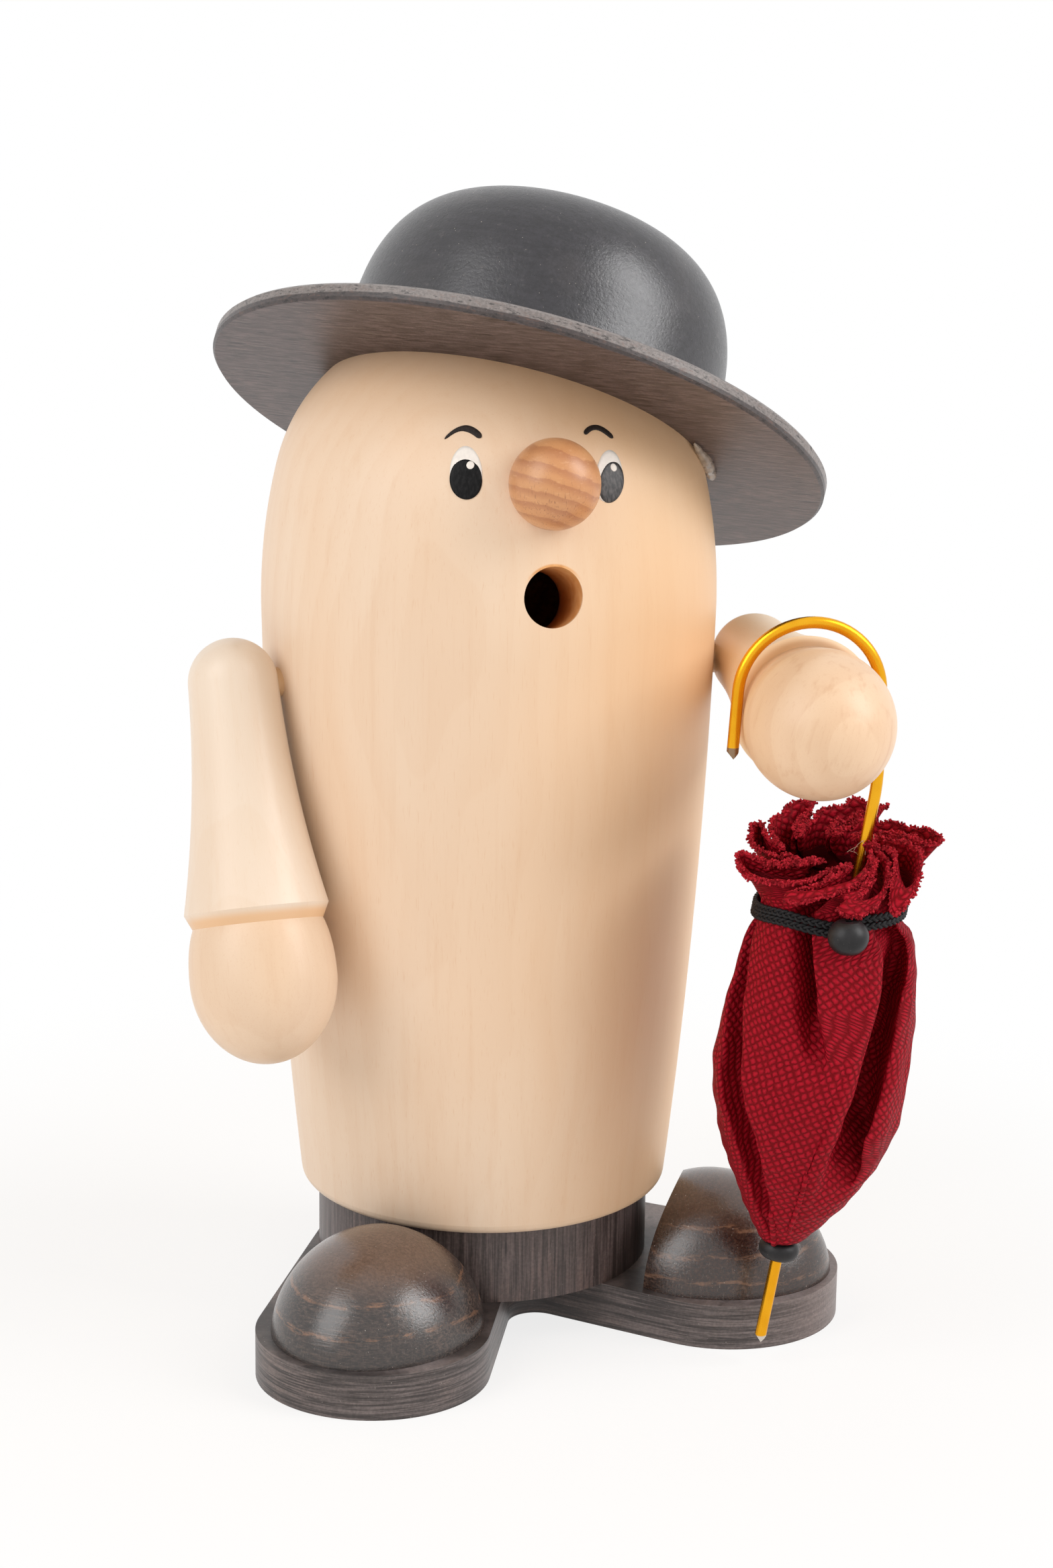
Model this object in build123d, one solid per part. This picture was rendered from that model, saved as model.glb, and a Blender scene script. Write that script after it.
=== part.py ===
from build123d import *
import math
import os

# Turned wooden incense smoker: a barrel figure with a bowler hat, shoes and a furled umbrella.
# Frame: millimetres, +Z up, the floor at Z = 0, the turned body on the Z axis, the face towards -Y.

# Base: sole plate, shoes and the disc under the body
BASE_TURN = 10.5            # the base is turned this far about Z against the face
SOLE_T = 8.1
SHOE_SPLAY = 50.7           # each shoe points this far from the base's own front
TOE_DIST = 44.5             # toe circle's centre from the body axis
TOE_R = 20.1
HUB_R = 29.8                # round back of the plate, about the body axis
NOTCH_AT = 21.9             # rounded notch between the shoes, in front of the body axis
NOTCH_R = 5.0
UPPER_AT = 41.8             # shoe upper's widest ring from the body axis
UPPER_R = 17.95
UPPER_TOE_L = 21.6          # widest ring to the tip of the toe
UPPER_SINK = 1.35           # the egg is cut off this far above its axis
UPPER_TRIM_R = 36.1         # hollow behind the upper, clear of the body
DISC_R = 29.4
DISC_H = 13.5
SPIGOT_H = 6.0
SPIGOT_FIT = 0.08           # radial clearance of the body on its spigot
SCREW_DIST = 13.0           # screws from the body axis, along each shoe
SCREW_R = 1.75
SCREW_HEAD_R = 3.4
SCREW_L = 17.0
SCREW_DRIVE_R = 1.0
SCREW_DRIVE_DEPTH = 1.4
SCREW_SINK = 0.3
DRAUGHT_R = 3.5             # air hole through plate and disc, behind the dish
DRAUGHT_BACK = 20.0
DRAUGHT_GROOVE_H = 3.0      # groove under the plate from the air hole to the back

# Tin dish and incense cone
DISH_R = 12.0
DISH_WALL = 0.6
DISH_H = 3.0
DISH_SINK = 1.5
TACK_DIST = 8.2
TACK_HEAD_R = 1.5
TACK_HEAD_H = 0.6
TACK_R = 0.6
TACK_L = 6.0
CONE_R = 5.5
CONE_TIP_R = 1.2
CONE_H = 24.0

# Body shell
BODY_FOOT_R = 32.3
BODY_WAIST_H = 45.5         # place part of the way up the lower side
BODY_WAIST_BULGE = 1.13733  # the side stands this far out there, over a straight line from foot to ring
BODY_MAX_R = 39.26
RING_UNDER_NOSE = 28.7      # widest ring below the nose's centre
BODY_FOOT_ROUND = 2.0
SHOULDER_ARC_R = 98.0       # two tangent arcs close the barrel above its widest ring
SHOULDER_ARC = 15.0
HEAD_ARC_R = 31.5
HEAD_ARC = 72.0
BORE_R = 26.0
MOUTH_UNDER_NOSE = 18.6     # mouth's centre below the nose's centre
MOUTH_R = 5.0
MOUTH_SLOPE = 15.0          # the mouth bore falls this much on its way in
CHAMBER_ROOF = 1.5          # chamber's top above the mouth bore's inner end
NOSE_R = 7.5
NOSE_H = 132.1              # nose centre above the body's foot
NOSE_PROUD = 2.9            # nose centre outside the body's skin

# Hat
CUT_OVER_NOSE = 6.6         # slanted cut crosses the body axis this far above the nose's centre
HAT_TILT = 31.0
HAT_HEADING = 47.0          # the hat drops towards this direction, from +X to +Y
HAT_SLIDE = 11.4            # hat centre from the body axis, down the slanted cut
BRIM_R = 54.4
BRIM_T = 3.0
BRIM_EDGE = 0.5
CROWN_R = 34.5
CROWN_H = 37.1
CROWN_SIDE_H = 15.0         # steep part of the crown's side
CROWN_SIDE_R = 32.9         # crown's radius at the top of that part
CROWN_TOP_R = 62.0          # radius of the flat arc over the top
CROWN_TOP_ARC = 18.0        # that arc's reach from the hat's axis, in degrees
HAT_DOWEL_R = 4.0
HAT_DOWEL_IN_HEAD = 10.0
HAT_DOWEL_IN_CROWN = 12.0

# Arms
SHOULDER_H = 93.7           # arm dowels above the body's foot
SHOULDER_AZ = 81.2          # arm dowels from the face, to each side
ARM_GAP = 0.55              # body skin to sleeve at the dowel
ARM_LEAN = 1.5              # each sleeve leans out from the body
RIGHT_SWING = 19.8          # each arm raised forwards from hanging straight down
LEFT_SWING = 90.5
SLEEVE_L = 48.4
SLEEVE_TOP_R = 7.6
SLEEVE_MID_R = 8.65         # sleeve's radius part of the way down
SLEEVE_MID_AT = 24.0
CUFF_R = 12.2
CUFF_CHAMFER_L = 2.5
PIVOT_DROP = 8.15           # dowel below the sleeve's top
SHOULDER_PEG_R = 2.5
PEG_IN_BODY = 9.0
PEG_IN_SLEEVE = 9.0
PEG_FIT = 0.06              # radial clearance of the sleeve on its dowel
PEG_END_GAP = 0.5
WRIST_R = 11.0
WRIST_L = 2.4
HAND_R = 12.4
HAND_BULGE_L = 6.6          # wrist to the hand's widest ring
HAND_END_L = 14.6
HAND_PEG_R = 2.5
HAND_PEG_IN = 8.0

# Umbrella
WIRE_R = 1.0
HOOK_FIT = 0.08             # the hook's legs stand this far off the wrist
HOOK_RISE = 3.2             # arch centre above the wrist's centre
HOOK_FLARE = 3.5            # open leg leans out this much
HOOK_OPEN_L = 11.3
HOOK_CLOSED_L = 12.0
ROD_LEAN = 9.8
ROD_BEND_R = 40.0
ROD_L = 97.0                # straight rod, bend to tip
NIP_ANGLE = 48.0            # the wire's ends are nipped off to an edge, each face this far from square
FERRULE_AT = 80.0           # places along the straight rod, from the bend
FERRULE_R = 3.5
FERRULE_H = 3.4
FERRULE_END_R = 2.3
NECK_AT = 18.1
NECK_R = 11.6
NECK_BAND = 5.2             # straight band of cloth under the tie cord
CANOPY_BORE_GAP = 0.15
HEM_AT = 8.0
HEM_R = 17.3
HEM_FOLD = 3.4
HEM_POCKET_L = 8.0
HEM_POCKET_R = 12.5
HEM_POCKET_FLOOR_R = 7.0
# canopy sections under the neck: place along the rod, outer radius, fold depth, shift across the rod
CANOPY_SECTIONS = (
    (30.0, 15.4, 1.6, -2.7),
    (45.0, 17.9, 1.9, -1.6),
    (56.0, 15.9, 1.5, -1.0),
    (63.5, 12.6, 1.2, -0.6),
    (70.4, 8.3, 0.8, -0.3),
    (77.6, 3.0, 0.2, 0.0),
)
NECK_FOLD = 1.2
NECK_SHIFT = -3.7           # cloth is gathered to one side of the rod
HEM_SHIFT = -4.0
FOLD_ANGLES = (-128.0, -62.0, 5.0, 70.0, 122.0, 180.0)   # creases round the rod, 0 towards +X
CORD_R = 0.6
CORD_TURNS = 2
CORD_PITCH = 1.4
CORD_GAP = 0.2              # cord to the cloth's outermost folds
CORD_SPOTS = 240            # places along the cord where its gap to itself is measured
CORD_START = -92.6          # winding starts and ends at the front, beside the bead
TIE_BEAD_R = 3.4
TIE_BEAD_H = 5.4
TIE_BEAD_GAP = 0.1
TIE_BEAD_DROP = 0.2         # bead's middle under the middle of the winding

FOOT_Z = SOLE_T + DISC_H
BODY_SIDE_H = NOSE_H - RING_UNDER_NOSE      # foot to the widest ring
BODY_WAIST_R = (
    BODY_FOOT_R + (BODY_MAX_R - BODY_FOOT_R) * BODY_WAIST_H / BODY_SIDE_H + BODY_WAIST_BULGE)
MOUTH_H = NOSE_H - MOUTH_UNDER_NOSE
HEAD_CUT_H = NOSE_H + CUT_OVER_NOSE
SPIGOT_R = BORE_R - SPIGOT_FIT
SPIGOT_Z = FOOT_Z + SPIGOT_H
DISH_Z = SPIGOT_Z - DISH_SINK
DISH_FLOOR_Z = DISH_Z + DISH_WALL
HOOK_R = WRIST_R + HOOK_FIT + WIRE_R
BASE = Rot(0, 0, BASE_TURN)
UP = (Align.CENTER, Align.CENTER, Align.MIN)


def turned(*lines):
    """Solid of revolution about Z from a closed outline given as radius and height."""
    edges = [edge for line in lines for edge in line.edges()]
    return revolve(Plane.XZ * make_face(Wire(edges)), Axis.Z)


# Base
def shoe_frame(side):
    """Places a shoe drawn along +X onto the right (-1) or left (+1) foot."""
    return BASE * Rot(0, 0, side * SHOE_SPLAY - 90)


def direction(angle):
    return Vector(math.cos(math.radians(angle)), math.sin(math.radians(angle)))


def plate_half():
    """Left half of the sole plate: round back, toe and half of the notch between the toes."""
    heading = SHOE_SPLAY - 90
    toe = direction(heading) * TOE_DIST
    notch = Vector(0, -NOTCH_AT)
    across = toe - notch
    outer = heading + math.degrees(math.acos((HUB_R - TOE_R) / TOE_DIST))
    inner = math.degrees(
        math.atan2(across.Y, across.X) + math.acos((NOTCH_R + TOE_R) / across.length))
    back = CenterArc((0, 0), HUB_R, 90, outer - 90)
    outside = Line(back @ 1, toe + direction(outer) * TOE_R)
    tip = CenterArc(toe, TOE_R, outer, inner - 180 - outer)
    inside = Line(tip @ 1, notch + direction(inner) * NOTCH_R)
    corner = CenterArc(notch, NOTCH_R, inner, 90 - inner)
    middle = Line(corner @ 1, back @ 0)
    return make_face(Wire([back, outside, tip, inside, corner, middle]))


def screw_place(side):
    return shoe_frame(side) * Pos(SCREW_DIST, 0, 0)


def make_screw():
    """Countersunk wood screw, head down, with a round drive recess."""
    head_h = SCREW_HEAD_R - SCREW_R
    tip_l = 2 * SCREW_R
    tip_z = SCREW_SINK + SCREW_L
    outline = Polyline(
        (0, SCREW_SINK), (SCREW_HEAD_R, SCREW_SINK), (SCREW_R, SCREW_SINK + head_h),
        (SCREW_R, tip_z - tip_l), (0, tip_z), (0, SCREW_SINK),
    )
    drive = Pos(0, 0, SCREW_SINK) * Cylinder(
        SCREW_DRIVE_R, SCREW_DRIVE_DEPTH, align=UP)
    return turned(outline) - drive


def screw_hole():
    """The screw's own form, run out through the sole plate's underside."""
    head_h = SCREW_HEAD_R - SCREW_R
    tip_l = 2 * SCREW_R
    tip_z = SCREW_SINK + SCREW_L
    return turned(Polyline(
        (0, -SCREW_SINK), (SCREW_HEAD_R, -SCREW_SINK), (SCREW_HEAD_R, SCREW_SINK),
        (SCREW_R, SCREW_SINK + head_h), (SCREW_R, tip_z - tip_l), (0, tip_z), (0, -SCREW_SINK),
    ))


def draught_place():
    return BASE * Pos(0, DRAUGHT_BACK, 0)


def make_sole_plate():
    half = extrude(plate_half(), SOLE_T)
    plate = BASE * (half + mirror(half, about=Plane.YZ))
    plate -= draught_place() * Cylinder(DRAUGHT_R, SOLE_T, align=UP)
    plate -= draught_place() * Box(
        2 * DRAUGHT_R, HUB_R, DRAUGHT_GROOVE_H, align=(Align.CENTER, Align.MIN, Align.MIN))
    for side in (-1, 1):
        plate -= screw_place(side) * screw_hole()
    return plate


def make_shoe_upper(side):
    """Part of a turned egg laid flat on the sole, round at its back and trimmed clear of the body."""
    toe = EllipticalCenterArc((UPPER_AT, 0), UPPER_TOE_L, UPPER_R, 0, arc_size=90)
    back = CenterArc((UPPER_AT, 0), UPPER_R, 90, 90)
    egg = revolve(make_face(Wire([toe, back, Line(back @ 1, toe @ 0)])), Axis.X)
    reach = UPPER_AT + UPPER_TOE_L
    keep = Pos(0, 0, UPPER_SINK) * Box(2 * reach, 2 * reach, reach, align=UP)
    upper = shoe_frame(side) * Pos(0, 0, SOLE_T - UPPER_SINK) * (egg & keep)
    return upper - Pos(0, 0, SOLE_T) * Cylinder(UPPER_TRIM_R, UPPER_R, align=UP)


def tack_place(side):
    return BASE * Pos(side * TACK_DIST, 0, DISH_FLOOR_Z)


def make_tack():
    return turned(Polyline(
        (0, TACK_HEAD_H), (TACK_HEAD_R, 0), (TACK_R, 0), (TACK_R, -TACK_L + 2 * TACK_R),
        (0, -TACK_L), (0, TACK_HEAD_H),
    ))


def make_trouser_disc():
    """Disc with the spigot that the body sits on, the dish's seat and the air hole."""
    disc = Pos(0, 0, SOLE_T) * Cylinder(
        DISC_R, DISC_H, align=UP)
    spigot = Pos(0, 0, FOOT_Z) * Cylinder(
        SPIGOT_R, SPIGOT_H, align=UP)
    disc += spigot
    disc -= Pos(0, 0, DISH_Z) * Cylinder(
        DISH_R, SPIGOT_H, align=UP)
    disc -= draught_place() * Cylinder(
        DRAUGHT_R, 2 * SPIGOT_Z, align=UP)
    for side in (-1, 1):
        disc -= screw_place(side) * screw_hole()
        disc -= tack_place(side) * make_tack()
    return disc


def make_cone_dish():
    dish = Pos(0, 0, DISH_Z) * Cylinder(
        DISH_R, DISH_H, align=UP)
    dish -= Pos(0, 0, DISH_FLOOR_Z) * Cylinder(
        DISH_R - DISH_WALL, DISH_H, align=UP)
    for side in (-1, 1):
        dish -= tack_place(side) * make_tack()
    return dish


def make_incense_cone():
    return Pos(0, 0, DISH_FLOOR_Z) * Cone(
        CONE_R, CONE_TIP_R, CONE_H, align=UP)


# Body
def body_edges():
    """Barrel side from the foot up, then the two arcs that close it over the head."""
    side = ThreePointArc(
        (BODY_FOOT_R, FOOT_Z),
        (BODY_WAIST_R, FOOT_Z + BODY_WAIST_H),
        (BODY_MAX_R, FOOT_Z + BODY_SIDE_H),
    )
    shoulder = JernArc(side @ 1, side % 1, SHOULDER_ARC_R, SHOULDER_ARC)
    head = JernArc(shoulder @ 1, shoulder % 1, HEAD_ARC_R, HEAD_ARC)
    return side, shoulder, head


BODY_EDGES = body_edges()


def skin_radius(z):
    """Radius of the body's skin at a height."""
    for edge in BODY_EDGES:
        if (edge @ 0).Y <= z <= (edge @ 1).Y:
            middle = edge.arc_center
            return middle.X + math.sqrt(edge.radius ** 2 - (z - middle.Y) ** 2)
    raise ValueError("no skin at this height")


MOUTH_Z = FOOT_Z + MOUTH_H
NOSE_Z = FOOT_Z + NOSE_H
SHOULDER_Z = FOOT_Z + SHOULDER_H
HEAD_CUT_Z = FOOT_Z + HEAD_CUT_H
MOUTH_WALL = skin_radius(MOUTH_Z) - BORE_R
CHAMBER_Z = (MOUTH_Z - MOUTH_WALL * math.tan(math.radians(MOUTH_SLOPE))
             + MOUTH_R / math.cos(math.radians(MOUTH_SLOPE)) + CHAMBER_ROOF)
NOSE_CENTRE = (0, -skin_radius(NOSE_Z) - NOSE_PROUD, NOSE_Z)
HAT = Pos(0, 0, HEAD_CUT_Z) * Rot(0, 0, HAT_HEADING) * Rot(0, HAT_TILT, 0) * Pos(HAT_SLIDE, 0, 0)


def hat_dowel():
    length = HAT_DOWEL_IN_HEAD + BRIM_T + HAT_DOWEL_IN_CROWN
    return HAT * Pos(0, 0, -HAT_DOWEL_IN_HEAD) * Cylinder(
        HAT_DOWEL_R, length, align=UP)


def mouth_bore():
    """Round bore that falls from the skin into the chamber."""
    reach = MOUTH_WALL + BORE_R / 4
    return Pos(0, -skin_radius(MOUTH_Z), MOUTH_Z) * Rot(-90 - MOUTH_SLOPE, 0, 0) * Pos(
        0, 0, -2 * MOUTH_R) * Cylinder(
        MOUTH_R, reach + 2 * MOUTH_R, align=UP)


def make_body_shell():
    side, shoulder, head = BODY_EDGES
    top = head @ 1
    closing = Polyline(top, (0, top.Y), (0, FOOT_Z), (BODY_FOOT_R, FOOT_Z))
    shell = turned(side, shoulder, head, closing)
    foot = shell.edges().filter_by(GeomType.CIRCLE).sort_by(Axis.Z)[0]
    shell = fillet(foot, BODY_FOOT_ROUND)
    above = 2 * BODY_MAX_R
    shell -= HAT * Box(2 * above, 2 * above, above, align=UP)
    shell -= Pos(0, 0, FOOT_Z) * Cylinder(
        BORE_R, CHAMBER_Z - FOOT_Z, align=UP)
    shell -= mouth_bore()
    shell -= Pos(*NOSE_CENTRE) * Sphere(NOSE_R)
    shell -= hat_dowel()
    for arm in (RIGHT_ARM, LEFT_ARM):
        shell -= arm.shoulder * shoulder_peg()
    return shell


def make_hat_brim():
    brim = Cylinder(BRIM_R, BRIM_T, align=UP)
    brim = chamfer(brim.edges().filter_by(GeomType.CIRCLE), BRIM_EDGE)
    return HAT * brim - hat_dowel()


def make_hat_crown():
    """Turned dome: a steep side, a round shoulder and a flat arc over the top."""
    side = Line((CROWN_R, 0), (CROWN_SIDE_R, CROWN_SIDE_H))
    top = CenterArc((0, CROWN_H - CROWN_TOP_R), CROWN_TOP_R, 90 - CROWN_TOP_ARC, CROWN_TOP_ARC)
    shoulder = Spline(side @ 1, top @ 0, tangents=(side % 1, top % 0))
    closing = Polyline((0, CROWN_H), (0, 0), (CROWN_R, 0))
    crown = turned(side, shoulder, top, closing)
    return HAT * Pos(0, 0, BRIM_T) * crown - hat_dowel()


# Arms
class Arm:
    """Where an arm's dowel and sleeve stand: frames with +X out of the body and the sleeve along -Z."""

    def __init__(self, side, swing):
        outward = side * SHOULDER_AZ - 90
        pivot_r = skin_radius(SHOULDER_Z) + ARM_GAP + SLEEVE_PIVOT_R
        self.shoulder = Rot(0, 0, outward) * Pos(pivot_r, 0, SHOULDER_Z)
        self.sleeve = self.shoulder * Rot(-side * swing, 0, 0) * Rot(0, -ARM_LEAN, 0)


def sleeve_flare():
    """Flared side of the sleeve, from the round shoulder to the cuff."""
    start = PIVOT_DROP - SLEEVE_TOP_R
    end = PIVOT_DROP - SLEEVE_L + CUFF_CHAMFER_L
    return ThreePointArc(
        (SLEEVE_TOP_R, start), (SLEEVE_MID_R, PIVOT_DROP - SLEEVE_MID_AT), (CUFF_R, end))


def flare_radius(z):
    edge = sleeve_flare()
    middle = edge.arc_center
    return middle.X - math.sqrt(edge.radius ** 2 - (z - middle.Y) ** 2)


SLEEVE_PIVOT_R = flare_radius(0)
CUFF_Z = PIVOT_DROP - SLEEVE_L
WRIST_Z = CUFF_Z - WRIST_L
RIGHT_ARM = Arm(-1, RIGHT_SWING)
LEFT_ARM = Arm(1, LEFT_SWING)


def shoulder_peg(clearance=0.0, end_gap=0.0):
    """Dowel along X through the gap between body and sleeve."""
    inner = -SLEEVE_PIVOT_R - ARM_GAP - PEG_IN_BODY
    outer = -SLEEVE_PIVOT_R + PEG_IN_SLEEVE + end_gap
    return Pos(inner, 0, 0) * Rot(0, 90, 0) * Cylinder(
        SHOULDER_PEG_R + clearance, outer - inner, align=UP)


def hand_peg():
    return Pos(0, 0, CUFF_Z - HAND_PEG_IN) * Cylinder(
        HAND_PEG_R, 2 * HAND_PEG_IN, align=UP)


def make_sleeve(arm):
    flare = sleeve_flare()
    dome = CenterArc((0, PIVOT_DROP - SLEEVE_TOP_R), SLEEVE_TOP_R, 90, -90)
    closing = Polyline(flare @ 1, (WRIST_R, CUFF_Z), (0, CUFF_Z), (0, PIVOT_DROP))
    sleeve = turned(dome, flare, closing)
    sleeve -= hand_peg()
    return arm.sleeve * sleeve - arm.shoulder * shoulder_peg(PEG_FIT, PEG_END_GAP)


def make_hand(arm, gripped):
    """Egg-shaped hand. The gripped one has a short straight wrist for the umbrella's hook."""
    widest_z = WRIST_Z - HAND_BULGE_L
    wrist = [Line((0, CUFF_Z), (WRIST_R, CUFF_Z))]
    if gripped:
        wrist.append(Line((WRIST_R, CUFF_Z), (WRIST_R, WRIST_Z)))
    bulge = Spline(wrist[-1] @ 1, (HAND_R, widest_z), tangents=((0.4, -1), (0, -1)))
    end = EllipticalCenterArc((0, widest_z), HAND_R, HAND_END_L, 0, arc_size=-90)
    closing = Line((0, widest_z - HAND_END_L), (0, CUFF_Z))
    return arm.sleeve * (turned(*wrist, bulge, end, closing) - hand_peg())


# Umbrella
WRIST_MID = CUFF_Z - WRIST_L / 2
GRIP = LEFT_ARM.sleeve * Pos(0, 0, WRIST_MID) * Rot(LEFT_SWING, 0, 0)
ROD_TOP = (
    HOOK_R - ROD_BEND_R * (1 - math.cos(math.radians(ROD_LEAN))),
    HOOK_RISE - HOOK_CLOSED_L - ROD_BEND_R * math.sin(math.radians(ROD_LEAN)),
)
ROD = GRIP * Pos(ROD_TOP[0], 0, ROD_TOP[1]) * Rot(0, ROD_LEAN, 0)
LEVEL = math.tan(math.radians(ROD_LEAN))    # rise along the rod that keeps a section level


def make_umbrella_rod():
    """One bent wire: open leg, arch over the wrist, closed leg and the straight rod."""
    arch = CenterArc((0, HOOK_RISE), HOOK_R, 180 - HOOK_FLARE, HOOK_FLARE - 180)
    flare = math.radians(HOOK_FLARE)
    open_start = arch @ 0
    open_end = open_start + Vector(-math.sin(flare), -math.cos(flare)) * HOOK_OPEN_L
    open_leg = Line(open_end, open_start)
    closed_leg = Line(arch @ 1, (HOOK_R, HOOK_RISE - HOOK_CLOSED_L))
    bend = JernArc(closed_leg @ 1, (0, -1), ROD_BEND_R, -ROD_LEAN)
    rod = Line(bend @ 1, (bend @ 1) + (bend % 1) * ROD_L)
    path = Plane.XZ * Wire([open_leg, arch, closed_leg, bend, rod])
    section = Plane(path @ 0, z_dir=path % 0) * Circle(WIRE_R)
    wire = sweep(section, path=path)
    for end, way in ((path @ 0, -(path % 0)), (path @ 1, path % 1)):
        for tilt in (-NIP_ANGLE, NIP_ANGLE):
            face = Plane(end, x_dir=(0, 1, 0), z_dir=way) * Rot(tilt, 0, 0)
            wire -= face * Box(4 * WIRE_R, 4 * WIRE_R, 4 * WIRE_R, align=UP)
    return GRIP * wire


def fold_wire(place, radius, depth, shift):
    """Level section of the gathered cloth: one round fold between each two creases."""
    def point(angle, reach):
        turn = math.radians(angle)
        out = shift + reach * math.cos(turn)
        return (out, reach * math.sin(turn), out * LEVEL - place)

    folds = []
    for i, start in enumerate(FOLD_ANGLES):
        end = FOLD_ANGLES[(i + 1) % len(FOLD_ANGLES)]
        end += 360 if end <= start else 0
        folds.append(ThreePointArc(
            point(start, radius - depth), point((start + end) / 2, radius), point(end, radius - depth)))
    return Wire(folds)


def make_umbrella_canopy():
    """Gathered cloth: a pleated belly drawn to a point and a ruffled open hem above the neck."""
    neck = (NECK_R, NECK_FOLD, NECK_SHIFT)
    neck_top = fold_wire(NECK_AT - NECK_BAND / 2, *neck)
    neck_foot = fold_wire(NECK_AT + NECK_BAND / 2, *neck)
    hem = fold_wire(HEM_AT, HEM_R, HEM_FOLD, HEM_SHIFT)
    belly = [neck_foot] + [fold_wire(*row) for row in CANOPY_SECTIONS]
    cloth = loft([make_face(wire) for wire in belly])
    cloth += loft([make_face(neck_top), make_face(neck_foot)])
    cloth += loft([make_face(hem), make_face(neck_top)])
    mouth = Pos(HEM_SHIFT, 0, HEM_SHIFT * LEVEL - HEM_AT) * Rot(0, -ROD_LEAN, 0)
    pocket = mouth * Pos(0, 0, -HEM_POCKET_L / 2) * Cone(
        HEM_POCKET_FLOOR_R, HEM_POCKET_R, HEM_POCKET_L)
    lip = mouth * Cylinder(HEM_POCKET_R, WIRE_R, align=UP)
    bore = Pos(0, 0, -ROD_L) * Cylinder(WIRE_R + CANOPY_BORE_GAP, ROD_L, align=UP)
    return ROD * (cloth - pocket - lip - bore)


CORD_COIL_R = NECK_R + CORD_GAP + CORD_R


def cord_point(turns):
    """Point and direction on the winding, turns counted from its start."""
    angle = math.radians(CORD_START) + 2 * math.pi * turns
    ahead = CORD_COIL_R * math.cos(angle)
    aside = CORD_COIL_R * math.sin(angle)
    out = NECK_SHIFT + ahead
    height = CORD_PITCH * (CORD_TURNS / 2 - turns) - NECK_AT
    fall = CORD_PITCH / (2 * math.pi)
    along = Vector(-aside, ahead, -aside * LEVEL - fall)
    return Vector(out, aside, out * LEVEL + height), along.normalized()


def biarc(start, end):
    """Two tangent arcs between two points with given directions."""
    p0, t0 = start
    p1, t1 = end
    span = p1 - p0
    tangents = t0 + t1
    apart = 2 * (1 - t0.dot(t1))
    reach = (math.sqrt(span.dot(tangents) ** 2 + apart * span.dot(span)) - span.dot(tangents)) / apart
    joint = (p0 + p1) * 0.5 + (t0 - t1) * (reach / 2)
    first = TangentArc(p0, joint, tangent=t0)
    return [first, TangentArc(joint, p1, tangent=first % 1)]


def make_umbrella_tie_cord():
    """Cord wound round the neck in one unbroken length, quarter turn by quarter turn."""
    stops = [cord_point(i / 4) for i in range(4 * CORD_TURNS + 1)]
    tail = 2 * CORD_R
    edges = [Line(stops[0][0] - stops[0][1] * tail, stops[0][0])]
    for start, end in zip(stops, stops[1:]):
        edges += biarc(start, end)
    edges.append(Line(stops[-1][0], stops[-1][0] + stops[-1][1] * tail))
    path = Wire(edges)
    section = Plane(path @ 0, z_dir=path % 0) * Circle(CORD_R)
    cord = sweep(section, path=path)
    spots = [path @ (i / CORD_SPOTS) for i in range(CORD_SPOTS + 1)]
    half_turn = CORD_SPOTS // (2 * CORD_TURNS)
    apart = [(a - b).length for i, a in enumerate(spots) for b in spots[i + half_turn:]]
    print("tie cord: least gap to itself", round(min(apart) - 2 * CORD_R, 3), "mm, volume",
          round(cord.volume, 2), "for", round(math.pi * CORD_R ** 2 * path.length, 2))
    return ROD * cord


def rounded_bead(radius, height, end_radius, bore):
    """Bead turned about Z, with flat ends of the given radius and a bore."""
    half = height / 2
    inside = Polyline((end_radius, half), (bore, half), (bore, -half), (end_radius, -half))
    return turned(ThreePointArc((end_radius, -half), (radius, 0), (end_radius, half)), inside)


def make_umbrella_tie_bead():
    """Bead tied on at the front, against the outside of the winding."""
    reach = CORD_COIL_R + CORD_R + TIE_BEAD_GAP + TIE_BEAD_R
    out = NECK_SHIFT + reach * math.cos(math.radians(CORD_START))
    aside = reach * math.sin(math.radians(CORD_START))
    place = Pos(out, aside, out * LEVEL - NECK_AT - TIE_BEAD_DROP) * Rot(0, -ROD_LEAN, 0)
    return ROD * place * rounded_bead(TIE_BEAD_R, TIE_BEAD_H, TIE_BEAD_R / 2, CORD_R)


def make_umbrella_ferrule():
    return ROD * Pos(0, 0, -FERRULE_AT) * rounded_bead(FERRULE_R, FERRULE_H, FERRULE_END_R, WIRE_R)


def pair(place, make):
    """Two like pieces in one node, one on each side."""
    return Compound(children=[place(side) * make() for side in (-1, 1)])


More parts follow.
